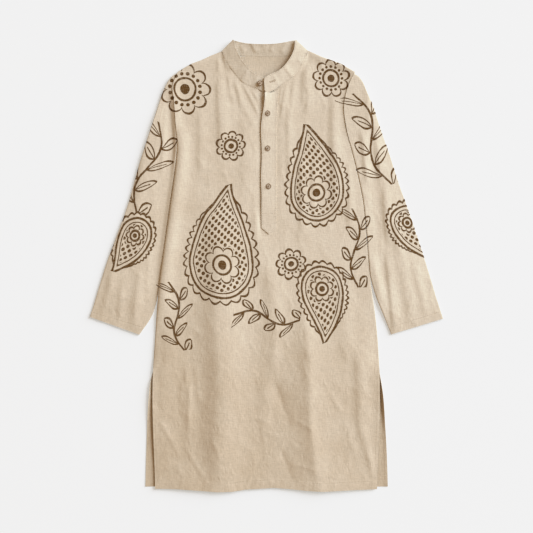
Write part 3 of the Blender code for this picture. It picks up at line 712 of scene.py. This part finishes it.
def crumple(x, y):
    """Uneven wrinkles of worn linen, too broad for the weave's bump: soft ones, and crisp ones between."""
    spots = list(zip(np.ravel(x), np.ravel(y)))
    soft = [noise.fractal((a / 24.0, b / 30.0, 3.7), 0.9, 2.1, 3) for a, b in spots]
    crisp = [noise.noise((a / 44.0, b / 62.0, 9.2)) for a, b in spots]
    crisp = np.clip(1 - 4.0 * np.abs(crisp), 0, 1) ** 2
    return np.reshape(0.2 * np.array(soft) + 0.36 * crisp, np.shape(x))


def front_top_y(x):
    return np.where((x > NECK_RIGHT) & (x < NECK_LEFT), curve(FRONT_NECK, x), back_top_y(x))


def groove(x, y):
    """How far the front sinks beside the open top of the placket."""
    return 2.2 * bell(np.maximum(-11.0 - x, 0.0), 6.0) * ramp(x, 4.0, -3.0) * ramp(y, 370.0, 410.0)


def front_z(x, y):
    """Height of the front's outer face, before its rolled edges drop."""
    x, y = np.broadcast_arrays(x, y)
    z = LEVEL + folds_lift(FOLDS, x, y) + folds_lift(CREASES, x, y, crest) + crumple(x, y)
    for side in SIDES:
        distance = np.abs(x - side_x(side, y))
        z = mix(z, line(SLIT_HEIGHT[side], y), bell(distance, 12) * ramp(y, SLIT_TOP + 30, SLIT_TOP - 10))
        roll = side_roll(side, y)
        sewn = np.where(y > 0, np.sqrt(roll), ramp(y, SLIT_TOP - 12, SLIT_TOP + 36))
        edge = np.maximum(EDGE_HEIGHT[side] * np.where(y > 0, 1.0, roll), FLAT_EDGE[side])
        z = mix(z, edge, bell(np.maximum(distance - ROLL_REACH[side], 0.0), 18) * sewn)
        armhole = ramp(y, ARMPIT[side], ARMPIT[side] + ROLL_RUN / 2)
        z = mix(z, ARMHOLE_HEIGHT[side], bell(distance, 12) * armhole)
    below_top = front_top_y(x) - y
    roll = shoulder_roll(x)
    z = mix(z, EDGE_HEIGHT["shoulder"], bell(below_top, 14) * np.sqrt(roll))
    z = mix(z, line(NECK_HEIGHT, x), bell(below_top, 12) * (1 - roll))
    off_placket = np.maximum(np.maximum(PLACKET_RIGHT - x, x - PLACKET_LEFT), 0.0)
    under_placket = mix(3.6, 4.6, ramp(x, PLACKET_RIGHT, PLACKET_LEFT))
    z = mix(z, under_placket, bell(off_placket, 8) * ramp(y, 50, 110)) - groove(x, y)
    hem_y = line(FRONT_HEM, x)
    z = mix(z, mix(line(HEM_HEIGHT, x), z, 0.3), bell(y - hem_y, 50))
    for pucker in PUCKERS:
        z = z + 0.5 * bell(x - pucker - 0.2 * (y - HEM), 4.5) * bell(y - hem_y - 12.0, 14.0)
    z = z + 0.5 * ramp(y - hem_y, HEM_DEPTH + 1, HEM_DEPTH - 0.5)
    return LOWEST + np.logaddexp(0.0, (z - LOWEST) * 3.0) / 3.0      # eases in to the lowest height


def cut(piece, cutter):
    """Take the solid of the cutter out of a piece."""
    bpy.context.view_layer.objects.active = piece
    opening = piece.modifiers.new("cut", "BOOLEAN")
    opening.object = cutter
    opening.solver = "EXACT"
    bpy.ops.object.modifier_apply(modifier="cut")
    bpy.data.objects.remove(cutter, do_unlink=True)


x, y, drop = panel_plan(shoulder=32, neck=84, low=216, high=90, top_of=front_top_y,
                        hem_of=lambda at: line(FRONT_HEM, at), side_of=side_x)
front = cloth_piece("front_cloth", np.dstack([x, y, front_z(x, y) - drop]), printed_linen, shaded_inside_linen)
bpy.ops.mesh.primitive_cube_add(size=1.0)
slot_cutter = bpy.context.object
slot_width, slot_length = SLOT[1] - SLOT[0], SLOT[3] - SLOT[2]
slot_x, slot_y = (SLOT[0] + SLOT[1]) / 2, (SLOT[3] + SLOT[2]) / 2
slot_cutter.data.transform(Matrix.Diagonal((slot_width * MM, slot_length * MM, 0.06, 1)))
slot_cutter.data.transform(Matrix.Translation((slot_x * MM, slot_y * MM, 0.01)))
cut(front, slot_cutter)
dress(front, "front")

# ---- Sleeves ----
# Each sleeve is one tube of printed linen, set into the armhole and laid flat along the body. Its
# upper face is highest over the arm and sinks beside the body.
ARMHOLE_GAP = 0.06
SLEEVE_EDGE = {"right": 4.4, "left": 3.8}
TIP_HEIGHT = {"right": 6.4, "left": 8.4}
SEAM_HEIGHT = {"right": 5.0, "left": 6.6}
CUFF_HEIGHT = 3.4
SLEEVE_LOWEST = 1.75
CUFF_SEAM = 0.968              # share of the sleeve's length
SLEEVE_ROLL = {"right": (0.4, 0.6), "left": (0.3, 0.5)}     # reach of the outer and inner fold, in radii
SLEEVES = {
    "right": (             # outer_x, outer_y, inner_x, inner_y; no inner_x where it follows the body
        (-212, 466, None, 278), (-231, 450, None, 268), (-247, 421, None, 257),
        (-263, 374, None, 243), (-281, 320, None, 226), (-305, 245, None, 190),
        (-331, 151, None, 116), (-360, 70, None, 31), (-381, 14, None, -34),
        (-402, -52, -264.5, -88), (-414, -92, -277, -124),
        (-424, -122, -305, -165)),
    "left": (              # outer_x, outer_y, inner_x, inner_y
        (212, 466, None, 298), (229, 446, None, 288), (243, 415, None, 276),
        (257, 381, None, 262), (271, 338, None, 242), (294, 272, None, 208),
        (313, 213, None, 166), (337, 144, None, 114), (366, 59, None, 20),
        (379, 19, None, -22), (392, -22, 260, -66), (410, -82, 283, -124),
        (424, -126, 299, -164))}
SLEEVE_FOLDS = {           # x0, y0, x1, y1, width to the wearer's right, width to the left, height
    "right": (
        (-272, 400, -304, 190, 12, 16, 2.2), (-240, 390, -248, 220, 7, 8, 1.8),
        (-302, 200, -316, 60, 14, 16, 1.6), (-340, 120, -376, -60, 12, 12, 1.2),
        (-300, -10, -322, -150, 10, 14, 1.8), (-345, -40, -352, -140, 6, 9, 1.1),
        (-276, 60, -286, -80, 7, 12, 1.2), (-372, -20, -394, -130, 7, 9, 0.9)),
    "left": (
        (282, 190, 294, 56, 8, 16, 2.4), (290, 34, 306, -160, 6, 18, 2.2),
        (254, 20, 276, -90, 8, 10, 1.4), (264, 350, 276, 200, 9, 14, 1.6),
        (320, 40, 352, -140, 12, 16, 1.5), (238, 440, 250, 330, 8, 12, 1.2),
        (229, 325, 240, 200, 7, 12, 2.4), (352, 20, 386, -130, 8, 12, 1.1),
        (306, 110, 322, 20, 8, 12, 1.2))}


def walk(path):
    """How far along a path each of its points is."""
    return np.concatenate([[0], np.cumsum(np.linalg.norm(np.diff(path, axis=0), axis=1))])


def sleeve_rails(side):
    """Outer and inner fold of a sleeve, each as x and y curves over the share of its length."""
    rails = ([], [])
    for outer_x, outer_y, inner_x, inner_y in SLEEVES[side]:
        if inner_x is None:
            inner_x = float(side_x(side, inner_y)) + OUTWARD[side] * 0.1
        rails[0].append((outer_x, outer_y))
        rails[1].append((inner_x, inner_y))
    outer, inner = np.array(rails[0]), np.array(rails[1])
    share = walk(outer) + walk(inner)
    share /= share[-1]
    return [[np.column_stack([share, rail[:, axis]]) for axis in (0, 1)] for rail in (outer, inner)]


def rail_point(rail, share):
    return np.array([float(curve(rail[0], share)), float(curve(rail[1], share))])


def sleeve_top(side, across, share, x, y):
    """Height of the sleeve's upper face at a point of its plan."""
    cuff = ramp(share, 0.84, 1.0)
    outer = mix(mix(TIP_HEIGHT[side], SLEEVE_EDGE[side], ramp(share, 0.0, 0.30)), CUFF_HEIGHT, cuff)
    inner = mix(SEAM_HEIGHT[side], CUFF_HEIGHT, cuff)
    z = mix(outer, inner, ramp(across, 0.60, 1.0))
    z = z + 1.6 * np.sin(np.pi * np.clip(across / 0.8, 0, 1)) * ramp(share, 0.03, 0.2) * ramp(share, 1.0, 0.8)
    z = z + folds_lift(SLEEVE_FOLDS[side], x, y) + crumple(x, y)
    z = z + 0.5 * ramp(share, CUFF_SEAM - 0.002, CUFF_SEAM + 0.001)
    beside = np.abs(x - (side_x(side, y) + OUTWARD[side]))
    if side == "right":        # it sinks beside the body, and its fold rises again at the seam
        seam = ramp(y, 190, 270)
        sunk = ramp(y, 430, 380)
        z = mix(z, mix(2.5, 1.9, seam), 0.97 * bell(beside, mix(25.0, 28.0, seam)) * sunk)
        z = z + mix(1.8, 4.3, seam) * ramp(beside, 10.0, 0.0) * sunk * ramp(y, -60, 60)
    return np.maximum(z, SLEEVE_LOWEST)


def fold_arc(crease, way, radius, roll, angles):
    """Points round one fold of a sleeve, between its under and its upper face."""
    reach = radius * roll
    return [(*(crease + way * reach * (1 - math.cos(angle))), radius * (1 + math.sin(angle)), 0)
            for angle in np.radians(angles)]


def sleeve_points(side, rings=165, top=46, fold=9):
    """Rows of points round a sleeve from the armhole to the cuff, and their plan for the print.

    A ring runs from the inner fold along the under face, over the outer fold and back on top. Its
    plan is the laid one on top and unrolls past the outer fold underneath.
    """
    outer_rail, inner_rail = sleeve_rails(side)
    rows, plans = [], []
    for share in np.linspace(0.0, 1.0, rings) ** 1.1:
        outer, inner = rail_point(outer_rail, share), rail_point(inner_rail, share)
        breadth = np.hypot(*(inner - outer))
        across_way = (inner - outer) / breadth
        ways = []
        for rail, toward in ((outer_rail, across_way), (inner_rail, -across_way)):
            run = rail_point(rail, min(share + 0.01, 1)) - rail_point(rail, max(share - 0.01, 0))
            way = np.array((run[1], -run[0])) / np.hypot(*run)
            ways.append(way if way @ toward > 0 else -way)
        ways[0] = mix(across_way, ways[0], ramp(share, 0.0, 0.08))
        rolls = SLEEVE_ROLL[side]
        radii = [float(sleeve_top(side, end, share, *point)) / 2 for end, point in enumerate((outer, inner))]
        start, end = outer + ways[0] * (radii[0] * rolls[0]), inner + ways[1] * (radii[1] * rolls[1])
        parts = np.linspace(0.0, 1.0, top + 2)[1:-1]
        ring = [(*mix(start, end, part), 0.0, 0) for part in parts[::-2]]
        ring += fold_arc(outer, ways[0], radii[0], rolls[0], np.linspace(-90, 90, fold))
        outermost = len(ring) - fold // 2 - 1
        ring += [(*mix(start, end, part), 0.0, 1) for part in parts]
        ring += fold_arc(inner, ways[1], radii[1], rolls[1], np.linspace(90, -90, fold))
        ring.append(ring[0])
        ring = np.array(ring)
        along = np.clip(((ring[:, :2] - outer) @ across_way) / breadth, 0, 1)
        level = mix(TIP_Y, ARMPIT[side], along)
        chord = mix(float(side_x(side, TIP_Y)), float(side_x(side, ARMPIT[side])), along)
        bulge = (side_x(side, level) - chord) * (1 - ramp(share, 0.0, 0.12))
        bow = OUTWARD[side] * 30.0 * ramp(share, 0.0, 0.1) * (1 - ramp(share, 0.15, 0.5))
        ring[:, 0] += bulge + bow * along * np.sin(np.pi * along)
        limit = side_x(side, ring[:, 1]) + OUTWARD[side] * ARMHOLE_GAP
        ring[:, 0] = mix(ring[:, 0], limit, ramp(share, 0.02, 0.0))
        ring[:, 0] = OUTWARD[side] * np.maximum(OUTWARD[side] * ring[:, 0], OUTWARD[side] * limit)
        upper = ring[:, 3] > 0
        ring[upper, 2] = sleeve_top(side, along[upper], share, ring[upper, 0], ring[upper, 1])
        walked = walk(ring[:, :2])
        plan = ring[:, :2].copy()
        under = np.arange(len(ring)) < outermost
        plan[under] = ring[outermost, :2] - np.outer(walked[outermost] - walked[under], across_way)
        plan[-1] = plan[-2]
        rows.append(ring[::OUTWARD[side], :3])
        plans.append(plan[::OUTWARD[side]])
    return rows, plans


for side in SIDES:
    rows, plans = sleeve_points(side)
    sleeve = cloth_piece(f"sleeve_{side}_cloth", rows, printed_linen, shaded_inside_linen, plan=plans)
    dress(sleeve, f"sleeve_{side}")

# ---- Collar ----
# The stand collar is a band of two layers of linen with a stiffening. It folds at both neck points,
# stands a little off the cloth at its free edge, and its left end lies over the right one.
COLLAR_WALL = 1.5
COLLAR_ROWS, COLLAR_COLUMNS = 520, 17      # along the band from its right end, and across it from the seam
COLLAR_FOLD = {"seam": (1.2, 7.6), "edge": (5.4, 13.4)}     # lowest and highest point of a neck fold
COLLAR_INSET = 1.0             # how far both layers draw in behind the fold
COLLAR_RIGHT = (           # seam_x, seam_y, edge_x, edge_y, seam_z, edge_z
    (-1, 418, 0, 449.5, 5.2, 6.8), (-8, 419, -4, 452, 5.2, 7.2),
    (-22, 425, -13, 454.5, 5.3, 7.8), (-40, 431, -22, 458, 5.4, 8.6),
    (-57, 440, -33, 464, 5.6, 9.4), (-69, 452, -41, 472, 5.9, 10),
    (-80, 466, -48, 480, 6.2, 10.6), (-90, 479, -58, 492, 6.6, 11.2),
    (-99, 493, -66, 506, 7, 11.8), (-103, 503, -74, 523, 7.4, 12.8))
COLLAR_LEFT = (            # seam_x, seam_y, edge_x, edge_y, seam_z, edge_z
    (-4.5, 421.5, -5.5, 444, 10.2, 12), (-2, 417.5, -4.5, 450, 9.8, 12.1),
    (4, 416, 0, 453.5, 9, 12.2), (17, 421, 7, 458, 8.2, 12),
    (30, 431, 14, 461.5, 7.2, 11.8), (48, 443, 27, 467, 6.4, 11.8),
    (66, 456, 41, 478, 6.2, 12), (76, 468, 50, 489, 6.4, 12.3),
    (85, 482, 58, 501, 6.8, 12.6), (93, 498, 66, 519, 7.2, 13.2))
COLLAR_BACK = (            # seam_x, seam_y, edge_x, edge_y, seam_z, edge_z
    (-92, 508, -70, 538.6, 0.8, 5.6), (-68, 504.6, -50, 534.2, 0.2, 6),
    (-40, 502.8, -32, 532.6, 0.1, 6.6), (-10, 501.8, -7, 532, 0.1, 7),
    (18, 501.8, 18, 532.8, 0.1, 6.8), (47, 503.4, 42, 535.8, 0.2, 6.4),
    (76, 509, 62, 540, 0.8, 6.2))
COLLAR_CREASES = {"right": ((-108, 514), (-80, 542)), "left": ((100, 516), (71, 542))}
COLLAR_FOLDS = (           # x0, y0, x1, y1, width to the wearer's right, width to the left, height
    (-36, 536, -22, 512, 5, 8, 1.5), (20, 538, 10, 514, 5, 7, 1),
    (48, 540, 34, 510, 6, 8, 0.9), (-62, 530, -52, 512, 5, 8, 1),
    (72, 500, 92, 476, 5, 8, 0.8), (42, 478, 64, 448, 5, 8, 0.9),
    (16, 458, 28, 430, 4, 6, 0.5), (-44, 470, -62, 442, 4, 7, 0.7),
    (-62, 492, -88, 472, 4, 6, 0.7), (-22, 456, -32, 430, 4, 6, 0.5))
COLLAR_DENTS = (           # x, y, half_width, depth
    (-30, 526, 16, 1.2), (-58, 524, 12, 1), (14, 530, 14, 1), (38, 518, 12, -0.5),
    (-70, 484, 12, 0.7), (-56, 466, 13, -0.5), (-34, 446, 12, 0.6), (62, 480, 14, 0.8),
    (38, 456, 13, -0.5), (74, 500, 11, 0.7))


def collar_turn(side, angles):
    """Pairs of seam and edge points where the band folds over at a neck point."""
    seam, edge = (np.array(point) for point in COLLAR_CREASES[side])
    way = (edge - seam) / np.hypot(*(edge - seam))
    outward = np.array((way[1], -way[0])) * OUTWARD[side]
    pairs = []
    for angle in np.radians(angles):
        pair = []
        for point, (low, high) in ((seam, COLLAR_FOLD["seam"]), (edge, COLLAR_FOLD["edge"])):
            at = point - outward * COLLAR_INSET * (1 - math.cos(angle))
            pair.append((*at, mix(low, high, 1 - ((1 - math.sin(angle)) / 2) ** 2.2)))
        pairs.append(pair)
    return pairs


def table_pairs(table):
    """Pairs of a seam point and an edge point, each x, y, z."""
    return [[(row[0], row[1], row[4]), (row[2], row[3], row[5])] for row in table]


pairs = np.array(table_pairs(COLLAR_RIGHT) + collar_turn("right", np.linspace(75, -75, 7))
                 + table_pairs(COLLAR_BACK) + collar_turn("left", np.linspace(-75, 75, 7))
                 + table_pairs(COLLAR_LEFT)[::-1])
walked = walk(pairs.mean(axis=1))
stations = np.linspace(0, walked[-1], COLLAR_ROWS)


def band_edge(end):
    """Close points along the band's seam, 0, or its free edge, 1."""
    tables = [np.column_stack([walked, pairs[:, end, axis]]) for axis in range(3)]
    return np.column_stack([curve(table, stations) for table in tables])


across = np.linspace(0.0, 1.0, COLLAR_COLUMNS)[None, :, None]
band = mix(band_edge(0)[:, None, :], band_edge(1)[:, None, :], across)
for dent_x, dent_y, half_width, depth in COLLAR_DENTS:
    band[..., 2] -= depth * bell(np.hypot(band[..., 0] - dent_x, band[..., 1] - dent_y), half_width)
band[..., 2] += folds_lift(COLLAR_FOLDS, band[..., 0], band[..., 1])
band[..., 2] += 0.5 * crumple(band[..., 0], band[..., 1])
# The collar and plackets take the linen lighter: painted light.
plain_linen_painted_light = linen_material("linen", depth=-0.2)
collar = cloth_piece("collar_cloth", band, plain_linen_painted_light, plain_linen_painted_light, wall=COLLAR_WALL)
dress(collar, "collar")

# ---- Placket ----
# A folded strip is sewn to each edge of the slot. The upper one is 35 mm wide, ends in a point below
# the slot and gapes a little at its top; three buttons close it.
PLACKET_TIP = (6.0, 76.0)
PLACKET_CORNER = 92.0


def placket_lift(x, y):
    gape = mix(1.7, 6.6, ramp(y, 330.0, 420.0)) * ramp(y, 90.0, 150.0)
    return gape * ramp(x, PLACKET_LEFT, PLACKET_RIGHT) + 0.5 * bell(y - 325.0 + 0.3 * x, 9.0)


def placket_lean(share, y):
    """How far the upper strip's open top leans to the wearer's left, by the share of its width."""
    return mix(8.5, 5.0, share) * ramp(y, 330, 425)


def placket_z(x, y):
    return front_z(x, y) + groove(x, y) + 1.7 + placket_lift(x, y)


share_x, share_y = np.meshgrid(np.linspace(0, 1, 9), np.linspace(0, 1, 90))
x = mix(SLOT[0] + 0.2, SLOT[1] - 0.2, share_x)
y = mix(SLOT[2] + 0.2, front_top_y(x) - 0.5, share_y)
placket_under = cloth_piece("placket_under_cloth", np.dstack([x, y, front_z(x, y)]), plain_linen_painted_light, plain_linen_painted_light)
dress(placket_under, "placket_under")

tip_share = (PLACKET_TIP[0] - PLACKET_RIGHT) / (PLACKET_LEFT - PLACKET_RIGHT)
columns = np.unique(np.append(np.linspace(0, 1, 15), tip_share))
share_x, share_y = np.meshgrid(columns, np.linspace(0, 1, 130))
x = mix(PLACKET_RIGHT, PLACKET_LEFT, share_x)
foot = mix(PLACKET_TIP[1], PLACKET_CORNER, np.abs(x - PLACKET_TIP[0]) / (PLACKET_TIP[0] - PLACKET_RIGHT))
y = mix(np.minimum(foot, PLACKET_CORNER), front_top_y(x) - 0.5, share_y)
x = x + placket_lean(share_x, y) + 0.9 * (1 - share_x) * np.sin(y / 19.0) * ramp(y, 140, 200)
y = np.minimum(y, front_top_y(x) - 0.5)
placket_top = cloth_piece("placket_top_cloth", np.dstack([x, y, placket_z(x, y)]), plain_linen_painted_light, plain_linen_painted_light,
                          wall=1.2)
dress(placket_top, "placket_top")

# ---- Stitching ----
# Single-needle stitches in matching thread hold the hems, cuffs, slits, collar and placket, about
# 3.5 mm a stitch. Buttonholes are bound with the same thread.
THREAD_RADIUS = 0.22
THREAD_LIFT = 0.12             # over the cuffs and the collar; half of it elsewhere
SHORTEST_RUN = 16              # rows of the collar
SLIT_DEPTH = 6.0               # how far in a slit's turned edge is sewn


def speckled_material(name, scale, dark, light, detail=2.0, distortion=0.0, **values):
    """A material whose colour drifts between two tones; also its noise, for other uses."""
    material, tree, shader = new_material(name, **values)
    place = tree.nodes.new("ShaderNodeTexCoord").outputs["Object"]
    speckle = new_noise(tree, place, scale, detail, Distortion=distortion).outputs["Fac"]
    tree.links.new(blend_colour(tree, speckle, dark, light), shader.inputs["Base Color"])
    return material, speckle


thread, _ = speckled_material("sewing thread", 900.0, (0.42, 0.31, 0.20, 1), (0.58, 0.46, 0.33, 1),
                              Roughness=0.6)


def single_stitch():
    """One stitch along X, 1 mm long before it is stretched: a six-sided thread with pinched ends."""
    bpy.ops.object.select_all(action="DESELECT")
    bpy.ops.mesh.primitive_cylinder_add(vertices=6, radius=THREAD_RADIUS * MM, depth=1.0 * MM)
    stitch = bpy.context.object
    bpy.ops.object.mode_set(mode="EDIT")
    bpy.ops.mesh.select_all(action="SELECT")
    bpy.ops.mesh.bevel(offset=0.1 * MM, segments=1)
    bpy.ops.object.mode_set(mode="OBJECT")
    stitch.data.transform(Matrix.Rotation(math.radians(90), 4, "Y"))
    points = np.array([vertex.co for vertex in stitch.data.vertices])
    faces = [list(face.vertices) for face in stitch.data.polygons]
    bpy.data.objects.remove(stitch, do_unlink=True)
    return points, faces


stitch_points, stitch_faces = single_stitch()


def sew_stitches(name, tips):
    """One mesh of stitches, each between two points in millimetres."""
    points, faces = [], []
    for low, high in tips:
        low, high = Vector(low), Vector(high)
        way = high - low
        turn = np.array(way.to_track_quat("X", "Z").to_matrix())
        faces += [[k + len(points) * len(stitch_points) for k in face] for face in stitch_faces]
        points.append(stitch_points * (way.length, 1, 1) @ turn.T + np.array((low + high) / 2) * MM)
    mesh = bpy.data.meshes.new(name)
    mesh.from_pydata(np.concatenate(points).tolist(), [], faces)
    mesh.materials.append(thread)
    mesh.shade_smooth()
    dress(link_object(name, mesh), None)


def run_of_stitches(path, pitch=3.5, length=2.6):
    """Ends of the stitches along a path of x, y, z points in millimetres."""
    path = np.array(path, dtype=float)
    run = walk(path)
    return [[[np.interp(at, run, path[:, axis]) for axis in range(3)] for at in (start, start + length)]
            for start in np.arange(0.4, run[-1] - length, pitch)]


def on_cloth(height, x, y):
    """A plan path laid on a surface, a thread's lift above it."""
    x, y = np.broadcast_arrays(np.asarray(x, dtype=float), y)
    return np.column_stack([x, y, height(x, y) + THREAD_LIFT / 2])


def corners_to_path(corners, step=2.0):
    """Plan points every few millimetres between corners."""
    corners = np.array(corners, dtype=float)
    run = walk(corners)
    at = np.linspace(0, run[-1], int(run[-1] / step) + 2)
    return np.interp(at, run, corners[:, 0]), np.interp(at, run, corners[:, 1])


def sew_runs(name, height, plans):
    """Runs of stitches on a surface of this height, each given as x and y in the plan."""
    runs = [on_cloth(height, *plan) for plan in plans]
    sew_stitches(name, [tip for run in runs for tip in run_of_stitches(run)])


slit_y = np.linspace(-512, -258, 130)
hem_x = np.linspace(-262, 259, 260)
sew_runs("front_hem_stitches", front_z, [(hem_x, line(FRONT_HEM, hem_x) + HEM_DEPTH)] + [
    (side_x(side, slit_y) - SLIT_DEPTH * OUTWARD[side], slit_y) for side in SIDES])
hem_x = np.linspace(-286, 288, 280)
sew_runs("back_hem_stitches", lambda x, y: back_z(x, y) + CLOTH, [(hem_x, BACK_HEM + HEM_DEPTH)] + [
    (back_side_x(side, slit_y) - SLIT_DEPTH * OUTWARD[side], slit_y) for side in SIDES])

placket_y = np.linspace(100, 408, 160)
sew_runs("placket_stitches", placket_z, [
    (PLACKET_LEFT - 2 + placket_lean(1, placket_y), placket_y),
    (PLACKET_RIGHT + 3.2 + placket_lean(0, placket_y), np.linspace(130, 408, 160)),
    corners_to_path([(PLACKET_RIGHT + 1, 126), (PLACKET_LEFT - 1, 126)]),
    corners_to_path([
        (PLACKET_RIGHT + 2, 122), (PLACKET_RIGHT + 2, PLACKET_CORNER + 1.5),
        (PLACKET_TIP[0], PLACKET_TIP[1] + 2.5), (PLACKET_LEFT - 2, PLACKET_CORNER + 1.5)])])

cuff_tips = []
for side in SIDES:
    start, end = (rail_point(rail, CUFF_SEAM) for rail in sleeve_rails(side))
    across = np.linspace(0.03, 0.97, 60)
    cuff = mix(start, end, across[:, None])
    height = sleeve_top(side, across, CUFF_SEAM, cuff[:, 0], cuff[:, 1]) + THREAD_LIFT
    cuff_tips += run_of_stitches(np.column_stack([cuff, height]))
sew_stitches("cuff_stitches", cuff_tips)

along_band, across_band = np.gradient(band, axis=0), np.gradient(band, axis=1)
facing = np.cross(along_band, across_band)
facing /= np.linalg.norm(facing, axis=2, keepdims=True)
facing *= np.sign(facing[40, COLLAR_COLUMNS // 2, 2])       # the right end lies face up
collar_tips = []
for column in (1, COLLAR_COLUMNS - 2):
    for face, offset in ((1, THREAD_LIFT), (-1, -(COLLAR_WALL + THREAD_LIFT))):
        shown = face * facing[:, column, 2] > 0.6
        path = band[:, column] + offset * facing[:, column]
        for start in np.flatnonzero(np.diff(np.append(0, shown)) == 1):
            stop = start + int(np.argmin(np.append(shown[start:], False)))
            if stop - start > SHORTEST_RUN:
                collar_tips += run_of_stitches(path[start:stop])
sew_stitches("collar_stitches", collar_tips)


def buttonhole(middle, way, height):
    """Bars of thread side by side round a slit 15 mm long, across its way."""
    way = np.array(way) / np.hypot(*way)
    side_way = np.array((-way[1], way[0]))
    tips = []
    for at in np.arange(-7.5, 7.6, 0.62):
        for low, high in ((-1.9, -0.25), (0.25, 1.9)):
            ends = [np.array(middle) + way * at + side_way * reach for reach in (low, high)]
            tips.append([(*end, height(*end) + 0.1) for end in ends])
    return tips


def on_band(x, y):
    """Height of the collar's upper face above a point of the plan."""
    away = np.hypot(band[..., 0] - x, band[..., 1] - y)
    left_half = slice(COLLAR_ROWS // 2, None)
    near = np.argmin(np.where(facing[..., 2] > 0, away, 1e6)[left_half])
    return float(band[left_half].reshape(-1, 3)[near, 2])


hole_tips = buttonhole((14.6, 442.6), (1.0, 0.36), on_band)
for name in ("button_1", "button_2", "button_3"):
    low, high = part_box(name)
    hole_tips += buttonhole(((low[0] + high[0]) / 2 / MM, (low[1] + high[1]) / 2 / MM), (0.0, 1.0),
                            lambda x, y: float(placket_z(x, y)))
sew_stitches("buttonhole_stitches", hole_tips)

# ---- Buttons ----
# Four round four-hole buttons of brown horn, 13 mm across, turned with a rim and sewn on with a cross of
# thread. The placket's are done up through upright buttonholes, and the collar's is left undone.
BUTTON_RADIUS, BUTTON_HEIGHT, BUTTON_RIM = 6.5, 2.2, 1.5
BUTTON_EDGE, BUTTON_DISH, BUTTON_SINK = 0.7, 0.5, 0.8      # rounding, dish in the face, press into the cloth
HOLE_RADIUS, HOLE_CIRCLE = 0.75, 2.1


def horn_material(name, dark, light):
    """Polished horn with cloudy streaks, duller where it is light."""
    horn, swirl = speckled_material(name, 300.0, dark, light, detail=4.0, distortion=1.5)
    gloss = Value(horn.node_tree, swirl) * 0.2 + 0.3
    horn.node_tree.links.new(gloss.socket, horn.node_tree.nodes["Principled BSDF"].inputs["Roughness"])
    return horn


horn_rim = horn_material("brown horn", (0.17, 0.095, 0.045, 1), (0.34, 0.22, 0.13, 1))
horn_face = horn_material("light horn", (0.52, 0.40, 0.28, 1), (0.74, 0.62, 0.48, 1))


def button_body():
    """A turned disc: rounded rim, dished face in the lighter horn, four holes."""
    bpy.ops.object.select_all(action="DESELECT")
    bpy.ops.mesh.primitive_cylinder_add(vertices=48, radius=BUTTON_RADIUS * MM, depth=BUTTON_HEIGHT * MM)
    button = bpy.context.object
    button.data.materials.append(horn_rim)
    button.data.materials.append(horn_face)
    bpy.ops.object.mode_set(mode="EDIT")
    bpy.ops.mesh.select_all(action="SELECT")
    bpy.ops.mesh.bevel(offset=BUTTON_EDGE * MM, segments=4)
    bpy.ops.mesh.select_all(action="DESELECT")
    bpy.ops.object.mode_set(mode="OBJECT")
    for face in button.data.polygons:
        face.select = face.normal.z > 0.99 and face.center.z > 0
    bpy.ops.object.mode_set(mode="EDIT")
    bpy.ops.mesh.inset(thickness=(BUTTON_RIM - BUTTON_EDGE) * MM)
    bpy.ops.mesh.inset(thickness=0.4 * MM, depth=-BUTTON_DISH * MM)
    bpy.context.object.active_material_index = 1
    bpy.ops.object.material_slot_assign()
    bpy.ops.mesh.inset(thickness=1.0 * MM, depth=-0.15 * MM)
    bpy.ops.object.mode_set(mode="OBJECT")
    for turn in np.radians((45, 135, 225, 315)):
        at = (HOLE_CIRCLE * MM * math.cos(turn), HOLE_CIRCLE * MM * math.sin(turn), 0)
        bpy.ops.mesh.primitive_cylinder_add(
            vertices=16, radius=HOLE_RADIUS * MM, depth=4 * BUTTON_HEIGHT * MM, location=at)
        cut(button, bpy.context.object)
    button.data.shade_smooth()
    button.data.set_sharp_from_angle(angle=math.radians(40))
    return button


pattern = button_body()
cross_tips = []
for name in ("button_1", "button_2", "button_3", "button_collar"):
    low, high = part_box(name)
    middle = (Vector(low) + Vector(high)) / 2
    if name != "button_collar":
        middle.z = float(placket_z(middle.x / MM, middle.y / MM) - BUTTON_SINK) * MM
    middle.z += BUTTON_HEIGHT / 2 * MM
    button = link_object(f"{name}_horn", pattern.data.copy())
    button.data.transform(Matrix.Translation(middle))
    dress(button, name)
    face = middle.z / MM + BUTTON_HEIGHT / 2 - BUTTON_DISH
    for turns in ((45, 225), (135, 315), (45, 225)):
        cross_tips.append([(middle.x / MM + HOLE_CIRCLE * math.cos(turn),
                            middle.y / MM + HOLE_CIRCLE * math.sin(turn), face)
                           for turn in np.radians(turns)])
bpy.data.objects.remove(pattern, do_unlink=True)
sew_stitches("button_threads", cross_tips)
